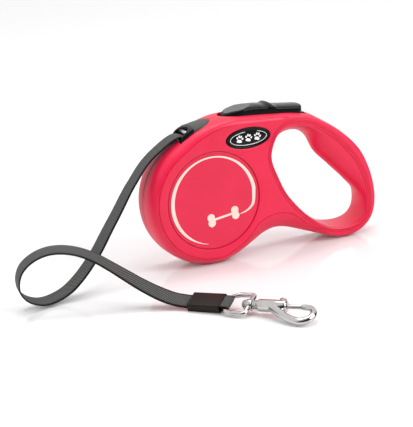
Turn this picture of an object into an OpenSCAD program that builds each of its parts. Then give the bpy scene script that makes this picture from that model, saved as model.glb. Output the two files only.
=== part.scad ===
// Retractable tape leash: a hollow two-part housing with a D-shaped handle, a spring-driven
// reel behind a thumb brake, and a flat tape that ends in a swivel bolt hook.
// The housing stands upright with its long side along X. The side faces look along Y.

/* [Housing] */
// Radius of the round reel drum
drum_r = 42; // [41.5:0.5:42.5]
// Half of the housing's thickness at the drum
half_thick = 13.8; // [13.4:0.2:14.4]
// Rounding radius between the rim and the side faces
rim_round = 5; // [4:0.5:6]
// Wall thickness of the two shells
wall = 2.4; // [2:0.2:2.6]
// Height that is flattened off the drum and the handle to make two feet
foot_flat = 0.2; // [0.1:0.1:0.5]

/* [Side discs and badges] */
// Radius of the recess that holds a side disc
disc_recess_r = 31; // [28:0.5:32]
// Half length of the oval badge
badge_a = 14.9; // [12:0.1:15]
// Half height of the oval badge
badge_b = 6.4; // [5:0.1:6.6]

/* [Reel] */
// Tip radius of the ratchet teeth on the reel's flanges
reel_tip_r = 37.4; // [36.8:0.1:37.6]
// Number of ratchet teeth; the pawl meets a gap at rest
teeth = 24; // [12, 24]
// Outer radius of the reel's hub
hub_r = 18; // [17:0.5:20]
// Outer radius of the wound tape
coil_r = 34.3; // [28:0.1:34.3]
// Radius of the axle
axle_r = 4; // [3:0.5:4]

/* [Brake] */
// Half width of the brake button
button_half_w = 8; // [6:0.5:8]
// Travel of the button when it locks the brake
lock_travel = 1.4; // [1:0.1:1.4]

/* [Tape and hook] */
// Width of the tape
tape_w = 12; // [10:0.5:12]
// Thickness of the tape
tape_t = 0.9; // [0.6:0.1:0.9]
// Travel of the snap hook's bolt
bolt_travel = 6; // [4:0.5:6]

/* [Hidden] */

housing_red = "#d8244f";
gloss_black = "#141416";
satin_grey = "#5c6064";
tape_grey = "#4a4c4e";
steel = "#b9bcc0";
reel_white = "#d9d9d4";

big = 400;      // larger than the whole object, for cutting blocks
high = 60;      // a height above the whole housing, from the axle
gap = 0.05;     // play between two pieces that are fixed to each other
far_up = 20;    // a side depth that lies outside the housing

// The reel's axle sits at this place in the object's frame.
drum_x = -36.6;
drum_z = drum_r - foot_flat;

// ---- Side outlines, as X and Z from the axle ----

// The lower right of the drum, the neck, the handle and the top, counter-clockwise from the drum.
handle_points = [
    [29, -32.5], [36, -29.2], [44, -27.6], [52, -28.9], [63, -32.8], [73, -36.6], [83, -40.2],
    [91.5, -42], [100, -40.6], [107.5, -36.4], [113, -29.3], [115.2, -19.5], [114.5, -9],
    [111.8, 1.8], [107, 12.6], [100.3, 21.2], [90.7, 29.8], [80, 37.2], [70.5, 42.6],
    [58, 45.6], [44, 47.4], [30, 48.8], [17, 49.6], [6, 48.4], [-8, 44]
];
drum_start = 120;
drum_end = 300;
drum_points = [for (a = [drum_start:10:drum_end]) drum_r * [cos(a), sin(a)]];

// Edge of the hand hole on the side faces, counter-clockwise.
hole_face_points = [
    [44.3, 7.7], [49.3, -3.7], [56.5, -13.8], [65.3, -23.2], [74.2, -29.8], [83, -33.7],
    [93.4, -34.6], [102, -32.5], [107, -26], [107.7, -14.6], [104.9, -1.8], [99.2, 9.7],
    [90.4, 20.5], [80.2, 29.3], [68.5, 36.6], [58.2, 39.2], [50.8, 38.3], [45, 33.4],
    [41.4, 24.9], [41, 17.7]
];
// The same edge in the middle plane, where the grip swells into the hand hole.
hole_mid_points = [
    [45.6, 8], [50.3, -3], [57.3, -12.8], [65.8, -22], [74.3, -28.6], [82.5, -32.8],
    [92.5, -34], [101, -31.5], [105.5, -25.5], [104.3, -15.5], [96, -5], [85.5, 6.2],
    [76.5, 16], [71.8, 26], [66.5, 31], [60, 33], [53.5, 32.5], [47.5, 30.3],
    [43.5, 24.5], [42.5, 17.5]
];

// Half thickness of the housing along X: the handle is thinner than the drum.
face_depth_table = [
    [-60, half_thick], [45, half_thick], [70, half_thick - 1.2], [95, half_thick - 2.9],
    [120, half_thick - 3.3]
];
function face_depth(x) = lookup(x, face_depth_table);

// ---- Curves ----

function catmull(a, b, c, d, t) =
    0.5 * (2 * b + (c - a) * t + (2 * a - 5 * b + 4 * c - d) * t * t
        + (3 * b - a - 3 * c + d) * t * t * t);

function closed_curve(pts, steps) =
    let (n = len(pts))
    [for (i = [0:n - 1], s = [0:steps - 1])
        catmull(pts[(i + n - 1) % n], pts[i], pts[(i + 1) % n], pts[(i + 2) % n], s / steps)];

function open_curve(pts, steps) =
    let (n = len(pts), inner = [for (i = [0:n - 2], s = [0:steps - 1])
        catmull(pts[max(i - 1, 0)], pts[i], pts[i + 1], pts[min(i + 2, n - 1)], s / steps)])
    concat(inner, [pts[n - 1]]);

function unit(v) = v / norm(v);

// Moves each point of a counter-clockwise outline inward by d.
function inset(pts, d) =
    let (n = len(pts))
    [for (i = [0:n - 1]) let (t = unit(pts[(i + 1) % n] - pts[(i + n - 1) % n]))
        pts[i] + d * [-t[1], t[0]]];

// Points on an arc of an ellipse.
function arc_points(c, ra, rb, a0, a1, steps) =
    [for (i = [0:steps]) let (a = a0 + (a1 - a0) * i / steps) c + [ra * cos(a), rb * sin(a)]];

outline = closed_curve(concat(drum_points, handle_points), 2);
hole_face = closed_curve(hole_face_points, 3);
hole_mid = closed_curve(hole_mid_points, 3);

// A closed solid through rings of equally many points, counter-clockwise seen from the last ring.
module skin(rings) {
    n = len(rings[0]);
    m = len(rings);
    sides = [for (k = [0:m - 2], i = [0:n - 1]) let (j = (i + 1) % n)
        each [[k * n + i, (k + 1) * n + i, (k + 1) * n + j], [k * n + i, (k + 1) * n + j, k * n + j]]];
    first_cap = [for (i = [0:n - 1]) i];
    last_cap = [for (i = [n - 1:-1:0]) (m - 1) * n + i];
    polyhedron([for (ring = rings) each ring], concat(sides, [first_cap, last_cap]));
}

// ---- Frames ----

// Stands a side view up: X stays, the drawing's Y becomes Z, and its depth points to the near side.
module upright() {
    translate([drum_x, 0, drum_z])
        rotate([90, 0, 0])
            children();
}

module on_side(side) {
    if (side == "near")
        upright() children();
    else
        mirror([0, 1, 0]) upright() children();
}

// A plan-view outline, as X and depth, that cuts through the whole height inside the upright frame.
module in_plan(points) {
    rotate([90, 0, 0])
        translate([0, 0, -big / 4])
            linear_extrude(big / 2)
                polygon(points);
}

// A side-view outline as a plate on both sides of the middle plane.
module plate(half, points) {
    translate([0, 0, -half])
        linear_extrude(2 * half)
            polygon(points);
}

module tube(r_out, r_in, z0, z1) {
    translate([0, 0, z0])
        difference() {
            cylinder(r = r_out, h = z1 - z0, $fn = 96);
            translate([0, 0, -1])
                cylinder(r = r_in, h = z1 - z0 + 2, $fn = 96);
        }
}

module rod(r, z0, z1) {
    translate([0, 0, z0])
        cylinder(r = r, h = z1 - z0, $fn = 48);
}

module rod_wide(r, z0, z1) {
    translate([0, 0, z0])
        cylinder(r = r, h = z1 - z0, $fn = 128);
}

// ---- Housing ----

drum_cavity_r = 39.4;
drum_cavity_depth = 11.4;
pocket_depth = 8;          // depth of the hollow in the top and in the handle
grip_pocket_depth = 4;     // depth of the hollow inside the swelling of the grip
boss_r = 3.4;
screw_places = [[37.5, -23.2], [111.2, -16], [74.6, 36.2], [36.5, 29.3], [92.5, -38.3]];
screw_r = 1.2;
screw_head_r = 2.4;
screw_head_depth = 6.4;    // depth at which the screw heads sit in the far shell
screw_tip = -5.5;
hub_boss_r = 7;
hub_boss_depth = 8.9;
disc_recess_depth = 1.4;
disc_clear = 0.4;
disc_thick = 0.8;
badge_centre = [25.5, 35.7];
badge_recess = 0.8;
badge_thick = 1.1;

// Slot in the top for the brake button, with room under its front edge for the lever.
slot_front = 12;
slot_rear = 69;
slot_floor = 41.3;
slot_roof = 46.4;
slot_half_w = button_half_w + 0.4;
// The lever's room reaches further forward, and its roof falls toward the rear.
lever_room_points = [[8.9, slot_floor], [slot_rear, slot_floor], [slot_rear, 44], [22, slot_roof],
    [8.9, slot_roof]];

lever_pivot = [62, 38.5];
lever_pin_r = 1.5;
lever_pin_half = 7;

// Nozzle insert, in the drawing plane of the side view.
nozzle_half_w = 8.2;
nozzle_rear = 5.3;
nozzle_front = -17;
nozzle_pocket_points = [[6.5, high], [6.5, 43.6], [-2, 41.6], [-12, 36.6], [nozzle_front - 0.3, 35],
    [nozzle_front - 0.3, high]];
nozzle_round = 9;          // length of the rounded rear end

// The tape runs straight off the top of the coil to the nozzle's mouth.
lead_start = [4.6, 34.9];
lead_end = [-13, 40.6];
lead_len = norm(lead_end - lead_start);
lead_dir = unit(lead_end - lead_start);
lead_side = [-lead_dir[1], lead_dir[0]];
channel_half = 1.2;        // half height of the channel round the tape
channel_half_w = tape_w / 2 + 0.5;

function along_lead(from, to, half) =
    [lead_start + from * lead_dir + half * lead_side, lead_start + to * lead_dir + half * lead_side,
        lead_start + to * lead_dir - half * lead_side,
        lead_start + from * lead_dir - half * lead_side];

// Plan view of the nozzle: straight sides and a rounded rear end.
function nozzle_plan(grow) =
    concat([[-40, nozzle_half_w + grow], [-40, -nozzle_half_w - grow]],
        arc_points([nozzle_rear - nozzle_round, 0], nozzle_round + grow, nozzle_half_w + grow,
            -90, 90, 24));

module housing_half_solid() {
    edge = half_thick - rim_round;
    steps = [0, 30, 60, 90];
    rings = concat(
        [[for (p = outline) [p[0], p[1], 0]]],
        [for (a = steps) let (pts = inset(outline, rim_round * (1 - cos(a))))
            [for (i = [0:len(pts) - 1])
                let (k = face_depth(outline[i][0]) / half_thick)
                [pts[i][0], pts[i][1], k * (edge + rim_round * sin(a))]]],
        [[for (p = inset(outline, rim_round)) [p[0], p[1], far_up]]]);
    swell = [0, 0.35, 0.6, 0.8, 0.92, 1];
    hole_rings = concat(
        [[for (p = hole_mid) [p[0], p[1], -1]]],
        [for (u = swell) let (w = 1 - pow(1 - u * u, 0.8))
            [for (i = [0:len(hole_mid) - 1]) let (q = hole_mid[i] + w * (hole_face[i] - hole_mid[i]))
                [q[0], q[1], u * face_depth(q[0])]]],
        [[for (p = hole_face) [p[0], p[1], far_up + 1]]]);
    difference() {
        skin(rings);
        skin(hole_rings);
        // flat side face, which slopes inward along the handle
        translate([0, big / 2, 0])
            rotate([90, 0, 0])
                linear_extrude(big)
                    polygon(concat([for (p = face_depth_table) p - [0, 0.05]],
                        [[120, far_up + 2], [-60, far_up + 2]]));
        // the two feet
        translate([-big / 2, -big - drum_z, -1])
            cube([big, big, big]);
    }
}

module housing_cavity() {
    translate([0, 0, -1])
        cylinder(r = drum_cavity_r, h = drum_cavity_depth + 1, $fn = 96);
    difference() {
        plate(pocket_depth, inset(outline, wall));
        plate(far_up, inset(hole_face, -1.8));
    }
    difference() {
        plate(grip_pocket_depth, inset(outline, wall));
        plate(far_up, inset(hole_mid, -2.6));
    }
}

module housing_half() {
    difference() {
        housing_half_solid();
        difference() {
            housing_cavity();
            for (p = screw_places)
                translate(p)
                    rod(boss_r, -2, far_up);
            rod(hub_boss_r, hub_boss_depth, far_up);
        }
        // disc recess, badge recess and axle socket
        rod_wide(disc_recess_r, face_depth(0) - disc_recess_depth, far_up);
        translate([0, 0, half_thick - badge_recess - 0.05])
            linear_extrude(far_up)
                polygon(arc_points(badge_centre, badge_a + 0.2, badge_b + 0.2, 0, 352.5, 47));
        rod(axle_r + gap, -1, drum_cavity_depth);
        // button slot, room for the lever, nozzle pocket and channel for the tape
        intersection() {
            plate(slot_half_w, [[slot_front, slot_floor], [slot_rear, slot_floor],
                [slot_rear, high], [slot_front, high]]);
            in_plan(button_plan(slot_front, slot_rear, slot_half_w));
        }
        plate(slot_half_w, lever_room_points);
        intersection() {
            plate(nozzle_half_w + 0.1, nozzle_pocket_points);
            in_plan(nozzle_plan(0.1));
        }
        plate(channel_half_w, along_lead(6, 17, channel_half));
        // seats of the lever pin
        translate(lever_pivot)
            rod(lever_pin_r + gap, -1, lever_pin_half + 0.3);
    }
}

module near_shell() {
    color(housing_red)
        on_side("near")
            difference() {
                housing_half();
                for (p = screw_places)
                    translate(p)
                        rod(screw_r + gap, -1, -screw_tip + 0.3);
            }
}

module far_shell() {
    color(housing_red)
        on_side("far")
            difference() {
                housing_half();
                for (p = screw_places)
                    translate(p) {
                        rod(screw_r + gap, -1, far_up);
                        rod(screw_head_r + 0.2, screw_head_depth, far_up);
                    }
            }
}

module side_disc(side) {
    color(housing_red)
        on_side(side)
            rod_wide(disc_recess_r - disc_clear, half_thick - disc_recess_depth,
                half_thick - disc_recess_depth + disc_thick);
}

module near_disc() {
    side_disc("near");
}

module far_disc() {
    side_disc("far");
}

module badge(side) {
    color(gloss_black)
        on_side(side)
            translate([0, 0, half_thick - badge_recess - 0.05])
                linear_extrude(badge_thick)
                    polygon(arc_points(badge_centre, badge_a, badge_b, 0, 352.5, 47));
}

module near_badge() {
    badge("near");
}

module far_badge() {
    badge("far");
}

module housing_screws() {
    color(steel)
        on_side("far")
            for (p = screw_places)
                translate(p) {
                    rod(screw_r, screw_tip, screw_head_depth + 0.5);
                    rod(screw_head_r, screw_head_depth + gap, screw_head_depth + 1.8);
                }
}

// ---- Nozzle ----

nozzle_seam = -8;
guide_pin_r = 1.2;
guide_pin_half = 7.6;
guide_pin_places = [[-13.6, 38.6], [-11.2, 42.6]];
// Side view of the mouth, which is open at the top, then the place and length of its rounded rear.
mouth_points = [[-8.6, 39.2], [-8.6, high], [-30, high], [-30, 39.8], [-12.6, 39.8]];
mouth_rear = -9.2;
mouth_round = 6;

module nozzle_part(points) {
    intersection() {
        plate(nozzle_half_w, points);
        in_plan(nozzle_plan(0));
    }
}

module nozzle_mouth() {
    intersection() {
        plate(channel_half_w, mouth_points);
        in_plan(concat([[-40, channel_half_w], [-40, -channel_half_w]],
            arc_points([mouth_rear - mouth_round, 0], mouth_round, channel_half_w, -90, 90, 24)));
    }
}

module nozzle_collar() {
    color(gloss_black)
        upright()
            difference() {
                nozzle_part([[nozzle_seam, 46.2], [-10.6, 44.7], [-15.6, 41.2], [nozzle_front, 38.3],
                    [nozzle_front, 35.9], [-12.1, 36.9], [-2, 41.9], [nozzle_rear, 43.9],
                    [nozzle_rear, 44.9], [nozzle_seam, 43.1]]);
                nozzle_mouth();
                plate(channel_half_w, along_lead(8, lead_len + 0.5, channel_half));
                for (p = guide_pin_places)
                    translate(p)
                        rod(guide_pin_r + gap, -guide_pin_half - 0.2, guide_pin_half + 0.2);
            }
}

module nozzle_cap() {
    color(satin_grey)
        upright()
            nozzle_part([[nozzle_seam, 46.2], [nozzle_seam, 43.15], [nozzle_rear, 44.95],
                [nozzle_rear, 48.5], [0, 47.6]]);
}

module guide_pins() {
    color(steel)
        upright()
            for (p = guide_pin_places)
                translate(p)
                    rod(guide_pin_r, -guide_pin_half, guide_pin_half);
}

// ---- Reel ----

flange_in = 7;
flange_out = 8.6;
tooth_depth = 2.6;
hub_wall = 2.5;
pawl_place = [12, 36.3];
pawl_angle = atan2(pawl_place[1], pawl_place[0]);
pitch = 360 / teeth;
cover_screw_r = 0.9;
cover_screw_head_r = 1.8;
cover_screw_head = 0.8;
cover_screw_ring = hub_r - hub_wall / 2;
cover_screw_angles = [30, 150, 270];
coil_half_w = tape_w / 2;
spring_half_w = 5;
spring_turns = 9;
spring_t = 0.5;

// Ratchet outline: a gap is centred on the pawl.
tooth_points = [for (i = [0:teeth - 1]) let (a = pawl_angle + i * pitch)
    each [(reel_tip_r - tooth_depth) * [cos(a - 0.26 * pitch), sin(a - 0.26 * pitch)],
        (reel_tip_r - tooth_depth) * [cos(a + 0.26 * pitch), sin(a + 0.26 * pitch)],
        reel_tip_r * [cos(a + 0.32 * pitch), sin(a + 0.32 * pitch)],
        reel_tip_r * [cos(a + 0.68 * pitch), sin(a + 0.68 * pitch)]]];

module flange(z0) {
    translate([0, 0, z0])
        linear_extrude(flange_out - flange_in)
            polygon(tooth_points);
}

module around_hub() {
    for (a = cover_screw_angles)
        rotate(a)
            translate([cover_screw_ring, 0, 0])
                children();
}

module reel() {
    color(reel_white)
        upright()
            difference() {
                union() {
                    flange(-flange_out);
                    tube(hub_r, hub_r - hub_wall, -flange_in - 0.1, flange_in);
                }
                rod(axle_r + gap, -far_up, far_up);
                around_hub()
                    rod(cover_screw_r + gap, -2, far_up);
            }
}

module reel_cover() {
    color(reel_white)
        upright()
            difference() {
                flange(flange_in);
                rod(axle_r + gap, -far_up, far_up);
                around_hub() {
                    rod(cover_screw_r + gap, -2, far_up);
                    rod(cover_screw_head_r + 0.1, flange_out - cover_screw_head, far_up);
                }
            }
}

module cover_screws() {
    color(steel)
        upright()
            around_hub() {
                rod(cover_screw_r, -1.5, flange_out - 0.4);
                rod(cover_screw_head_r, flange_out - cover_screw_head + gap, flange_out);
            }
}

// Flat spiral spring between the axle and the hub.
module main_spring() {
    r0 = axle_r + 0.7;
    r1 = hub_r - hub_wall - 0.3;
    steps = spring_turns * 20;
    outer = [for (i = [0:steps]) let (r = r0 + spring_t + (r1 - r0 - spring_t) * i / steps,
        a = 360 * spring_turns * i / steps) r * [cos(a), sin(a)]];
    inner = [for (i = [steps:-1:0]) let (r = r0 + (r1 - r0 - spring_t) * i / steps,
        a = 360 * spring_turns * i / steps) r * [cos(a), sin(a)]];
    color(steel)
        upright()
            plate(spring_half_w, concat(outer, inner));
}

module tape_coil() {
    color(tape_grey)
        upright()
            tube(coil_r, hub_r + gap, -coil_half_w, coil_half_w);
}

module axle() {
    color(steel)
        upright()
            rod(axle_r, -drum_cavity_depth + 0.1, drum_cavity_depth - 0.1);
}

module axle_washers() {
    color(steel)
        for (side = ["near", "far"])
            on_side(side)
                tube(6.5, axle_r + gap, flange_out + 0.05, hub_boss_depth - 0.05);
}

module tape_lead() {
    color(tape_grey)
        upright()
            plate(tape_w / 2, along_lead(0, lead_len, tape_t / 2));
}

// ---- Brake ----

// The button slides on the lever along this slope.
slope = 0.08;
slide_angle = atan(slope);
function lever_top(x) = 46 - slope * (x - 15);
cap_gap = 0.3;
cap_front = 14.4;
cap_rear = 68.4;
rib_half_w = 2;
rib_x = [20, 50];
rib_h = 1;
pawl_w = 3;
cap_top_points = [[cap_rear, 48.2], [66, 48.7], [55, 50.1], [49, 51], [47, 52.4], [45.3, 53.2],
    [42.5, 52.2], [38, 52.9], [31, 53.3], [26.3, 53.2], [20, 52], [15.8, 50.2], [cap_front, 48.8]];
cap_bow = 12;           // length of the button's rounded front end
cap_stern = 5;          // length of its rounded rear end
grip_x = [17, 33];
grip_depth = 0.8;
grip_half_w = 6;
brake_spring_x = 36.5;
brake_spring_r = 2.2;
brake_spring_wire = 0.35;
brake_spring_z = [33.1, 40.4];

module brake_lever() {
    color(gloss_black)
        upright()
            difference() {
                union() {
                    plate(3.5, [[57, 38.9], [62, 35.3], [64, 35.9], [65.2, 38.5], [64, lever_top(64)],
                        [10, lever_top(10) - 1.6], [10, 42.5], [20, 42.2]]);
                    plate(6, [[12, 43.6], [50, 42.2], [50, lever_top(50)], [13, lever_top(13)],
                        [12, lever_top(12) - 0.8]]);
                    plate(7.6, [[pawl_place[0] - pawl_w / 2, pawl_place[1]],
                        [pawl_place[0] + pawl_w / 2, pawl_place[1]],
                        [pawl_place[0] + pawl_w / 2, 44], [pawl_place[0] - pawl_w / 2, 44]]);
                    plate(rib_half_w, [[rib_x[0], lever_top(rib_x[0]) - 1],
                        [rib_x[1], lever_top(rib_x[1]) - 1], [rib_x[1], lever_top(rib_x[1]) + rib_h],
                        [rib_x[0], lever_top(rib_x[0]) + rib_h]]);
                }
                translate(lever_pivot)
                    rod(lever_pin_r + gap, -far_up, far_up);
            }
}

module lever_pin() {
    color(steel)
        upright()
            translate(lever_pivot)
                rod(lever_pin_r, -lever_pin_half, lever_pin_half);
}

function ring_at(c, side, up, r, n) = [for (i = [0:n - 1]) let (a = 360 * i / n)
    c + r * cos(a) * side + r * sin(a) * up];

// A wire coil of n_turns around the Z axis, from z0 to z1.
module coil_spring(r, wire, z0, z1, n_turns) {
    steps = n_turns * 14;
    rings = [for (i = [0:steps]) let (a = 360 * n_turns * i / steps,
        c = [r * cos(a), r * sin(a), z0 + wire + (z1 - z0 - 2 * wire) * i / steps])
        ring_at(c, [0, 0, 1], [cos(a), sin(a), 0], wire, 6)];
    skin(rings);
}

module brake_spring() {
    color(steel)
        translate([drum_x + brake_spring_x, 0, drum_z])
            coil_spring(brake_spring_r, brake_spring_wire, brake_spring_z[0], brake_spring_z[1], 5);
}

// Plan view of the button: rounded at the front and at the rear.
function button_plan(x_front, x_rear, half_w) =
    concat(arc_points([x_rear - cap_stern, 0], cap_stern, half_w, -90, 90, 16),
        arc_points([x_front + cap_bow, 0], cap_bow, half_w, 90, 270, 24));

// The layer under the top of the button that the grip patch fills, larger by grow.
module grip_block(grow) {
    over_cap = concat(cap_top_points, [[cap_front, high], [cap_rear, high]]);
    intersection() {
        difference() {
            translate([0, -grip_depth - grow, 0])
                plate(grip_half_w + grow, over_cap);
            translate([0, 0.25, 0])
                plate(far_up, over_cap);
        }
        plate(far_up, [[grip_x[0] - grow, 0], [grip_x[1] + grow, 0], [grip_x[1] + grow, high],
            [grip_x[0] - grow, high]]);
        in_plan(button_plan(cap_front + 2 - grow, cap_rear, grip_half_w + grow));
    }
}

module brake_button() {
    color(gloss_black)
        upright()
            difference() {
                intersection() {
                    plate(button_half_w, concat([[cap_front, lever_top(cap_front) + cap_gap],
                        [cap_rear, lever_top(cap_rear) + cap_gap]], cap_top_points));
                    in_plan(button_plan(cap_front, cap_rear, button_half_w));
                }
                // groove for the lever's rib, long enough for the lock travel
                plate(rib_half_w + cap_gap, [[rib_x[0] - 0.6, 0], [rib_x[1] + lock_travel + 0.6, 0],
                    [rib_x[1] + lock_travel + 0.6, lever_top(rib_x[1]) + rib_h + cap_gap],
                    [rib_x[0] - 0.6, lever_top(rib_x[0]) + rib_h + cap_gap]]);
                grip_block(gap);
            }
}

module button_grip() {
    color(satin_grey)
        upright()
            grip_block(0);
}

// ---- Tape outside the housing ----

// Route of the tape's centre line from the nozzle to the sleeve, in the object's frame.
tape_route = [
    [-49.6, 0, 82.4], [-52.6, 0, 83.1], [-56, 0, 82.3], [-60.5, 0, 80.1], [-66, 0, 76.7],
    [-72.2, -0.3, 72.5], [-77.7, -0.9, 67.7], [-83.6, -2.4, 61.6], [-89.7, -4, 55],
    [-98.7, -7, 44.1], [-106.3, -9.3, 35.2], [-115.4, -12.2, 24.3], [-123.4, -14.7, 16.6],
    [-130.4, -16.6, 10.9], [-138.3, -18.2, 5.9], [-147.1, -19.8, 3.2], [-155.5, -21.5, 2.9],
    [-163.1, -23, 5.6], [-168.5, -24.5, 10], [-171.2, -25.9, 15.6], [-171.5, -27.2, 21.6],
    [-169.6, -28.6, 27.5], [-165.4, -30.6, 32.4], [-159.7, -32.8, 35.9], [-153, -35.4, 37.8],
    [-145.4, -38.4, 37.7], [-137.3, -41.9, 35.6], [-129.4, -45.5, 31.6], [-122, -49.5, 26.3],
    [-114.3, -54, 20.2], [-106.5, -59, 14.1], [-99, -64, 9.1], [-92.3, -69.1, 5.7],
    [-87.1, -73.1, 4.3], [-83.2, -76.6, 3.8]
];

// Where the sleeve starts, and how it and the hook lie.
hook_place = [-83.2, -76.6, 3.8];
hook_turn = -50;       // direction of the sleeve and hook on the ground
hook_rise = 2.4;       // slope of the hook's axis
hook_lean = 71;        // how far the hook's plane leans over from upright
hook_across = [-sin(hook_turn), cos(hook_turn), 0];
sleeve_width_dir = sin(hook_lean) * hook_across + [0, 0, cos(hook_lean)];

// The tape's width direction at shares of its length.
tape_twist = [
    [0, [0, 1, 0]], [0.12, [-0.01, 1, -0.02]], [0.21, [-0.12, 0.98, -0.13]],
    [0.35, [-0.22, 0.97, -0.08]], [0.44, [-0.2, 0.97, 0.09]], [0.5, [-0.1, 0.97, 0.21]],
    [0.56, [0.11, 0.96, 0.25]], [0.65, [0.25, 0.95, 0.17]], [0.76, [0.44, 0.89, 0.14]],
    [0.83, [0.57, 0.81, 0.13]], [0.91, [0.66, 0.7, 0.27]], [1, sleeve_width_dir]
];

function width_dir(share) =
    [for (axis = [0:2]) lookup(share, [for (key = tape_twist) [key[0], key[1][axis]]])];

// Eight-sided flat section of the tape around a centre.
function tape_ring(c, across, up) =
    let (a = tape_w / 2, b = tape_t / 2)
    [for (q = [[-a, -b / 2], [-a + b / 2, -b], [a - b / 2, -b], [a, -b / 2],
        [a, b / 2], [a - b / 2, b], [-a + b / 2, b], [-a, b / 2]])
        c + q[0] * across + q[1] * up];

module tape() {
    path = open_curve(tape_route, 2);
    n = len(path);
    rings = [for (i = [0:n - 1])
        let (t = unit(path[min(i + 1, n - 1)] - path[max(i - 1, 0)]),
            w = width_dir(i / (n - 1)),
            across = unit(w - (w * t) * t))
        tape_ring(path[i], across, cross(t, across))];
    color(tape_grey)
        skin(rings);
}

// ---- Sleeve and snap hook, along their own X axis from the start of the sleeve ----

module at_hook() {
    translate(hook_place)
        rotate([0, 0, hook_turn])
            rotate([0, -hook_rise, 0])
                rotate([-hook_lean, 0, 0])
                    children();
}

module along_x() {
    rotate([0, 90, 0])
        children();
}

sleeve_len = 20.5;
sleeve_half_w = 6.7;
sleeve_half_t = 2.6;
fold_x = 24;
bar_r = 1;
fold_r = bar_r + gap;
end_t = 0.8;
rail_z = 8.6;
rail_r = 1.5;
frame_end = 37.5;
swivel_r = 1.6;
barrel_x = [43, 61];
barrel_r = 3.7;
bolt_r = 1.3;
bolt_x = [55, 70.2];
bolt_bore = [47, 61];
knob_x = 57;
knob_stem_r = 0.8;
knob_z = [3.9, 5.4];
hook_curve = [
    [52, -1.5], [57, -5], [62.5, -8.8], [68.2, -11.7], [73.6, -12.9], [77.8, -10.9],
    [79.4, -6.8], [78.2, -2.6], [75, -0.4], [70.6, 0]
];
hook_radii = [2.6, 2.5, 2.35, 2.3, 2.25, 2.2, 2.1, 1.9, 1.8, 1.7];

module sleeve_section(half_w, half_t, corner) {
    polygon([[-half_w, -half_t + corner], [-half_w + corner, -half_t], [half_w - corner, -half_t],
        [half_w, -half_t + corner], [half_w, half_t - corner], [half_w - corner, half_t],
        [-half_w + corner, half_t], [-half_w, half_t - corner]]);
}

module tape_sleeve() {
    color("#2b2422")
        at_hook()
            difference() {
                along_x()
                    linear_extrude(sleeve_len)
                        sleeve_section(sleeve_half_w, sleeve_half_t, 0.8);
                along_x()
                    translate([0, 0, -1])
                        linear_extrude(sleeve_len + 2)
                            square([tape_w + 0.2, 2 * (fold_r + end_t) + 0.1], center = true);
            }
}

// The sewn end of the tape: a stack inside the sleeve that opens into a loop round the bar.
module tape_end() {
    r = fold_r + end_t;
    color(tape_grey)
        at_hook()
            translate([0, 0, -tape_w / 2])
                linear_extrude(tape_w)
                    difference() {
                        polygon(concat([[fold_x, r], [6, r], [0.1, tape_t / 2], [0.1, -tape_t / 2],
                            [6, -r], [fold_x, -r]], arc_points([fold_x, 0], r, r, -80, 80, 12)));
                        polygon(concat([[fold_x, fold_r], [20, fold_r], [16, 0], [20, -fold_r],
                            [fold_x, -fold_r]],
                            arc_points([fold_x, 0], fold_r, fold_r, -80, 80, 12)));
                        translate([fold_x, 0])
                            circle(r = fold_r, $fn = 48);
                    }
}

module swivel_frame() {
    color(steel)
        at_hook()
            difference() {
                union() {
                    translate([fold_x, 0, 0])
                        rod(bar_r, -rail_z, rail_z);
                    for (s = [-1, 1])
                        translate([fold_x, 0, s * rail_z]) {
                            sphere(r = rail_r, $fn = 32);
                            along_x()
                                rod(rail_r, 0, frame_end - fold_x);
                        }
                    for (s = [-1, 1])
                        translate([frame_end, 0, s * rail_z])
                            sphere(r = rail_r, $fn = 32);
                    translate([frame_end, 0, 0])
                        rod(rail_r, -rail_z, rail_z);
                    along_x()
                        rod(3.4, frame_end - 1.6, frame_end + 2);
                }
                along_x()
                    rod(swivel_r + gap, frame_end - 5, frame_end + 5);
            }
}

module swivel_rivet() {
    color(steel)
        at_hook()
            along_x() {
                rod(2.9, frame_end - 4.6, frame_end - 1.9);
                rod(swivel_r, frame_end - 2.2, barrel_x[0] + 1.5);
            }
}

module hook_body() {
    path = open_curve(hook_curve, 2);
    radii = open_curve(hook_radii, 2);
    n = len(path);
    rings = [for (i = [0:n - 1])
        let (t = unit(path[min(i + 1, n - 1)] - path[max(i - 1, 0)]))
        ring_at([path[i][0], 0, path[i][1]], [0, 1, 0], [-t[1], 0, t[0]], radii[i], 12)];
    color(steel)
        at_hook()
            difference() {
                union() {
                    along_x() {
                        rod(barrel_r, barrel_x[0], barrel_x[1]);
                        rod(2.6, frame_end + 2.3, barrel_x[0] + 0.1);
                    }
                    skin(rings);
                }
                along_x() {
                    rod(bolt_r + gap, bolt_bore[0], bolt_bore[1] + 6);
                    rod(swivel_r + gap, frame_end, barrel_x[0] + 1.6);
                }
                // slot for the knob's stem
                translate([knob_x - bolt_travel - 1.1, -1.1, 0])
                    cube([bolt_travel + 2.2, 2.2, barrel_r + 1]);
            }
}

module hook_bolt() {
    color(steel)
        at_hook()
            along_x()
                rod(bolt_r, bolt_x[0], bolt_x[1]);
}

module bolt_knob() {
    color(steel)
        at_hook()
            translate([knob_x, 0, 0]) {
                rod(knob_stem_r, bolt_r, knob_z[0] + 0.1);
                rod(2.4, knob_z[0], knob_z[1]);
            }
}

module bolt_spring() {
    color(steel)
        at_hook()
            along_x()
                coil_spring(0.85, 0.2, bolt_bore[0] + 0.1, bolt_x[0] - 0.1, 7);
}

near_shell();
far_shell();
near_disc();
far_disc();
near_badge();
far_badge();
nozzle_collar();
nozzle_cap();
guide_pins();
axle();
axle_washers();
housing_screws();
reel();
reel_cover();
cover_screws();
main_spring();
tape_coil();
tape_lead();
brake_lever();
lever_pin();
brake_spring();
brake_button();
button_grip();
tape();
tape_end();
tape_sleeve();
swivel_frame();
swivel_rivet();
hook_body();
hook_bolt();
bolt_knob();
bolt_spring();
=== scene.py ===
import math

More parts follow.
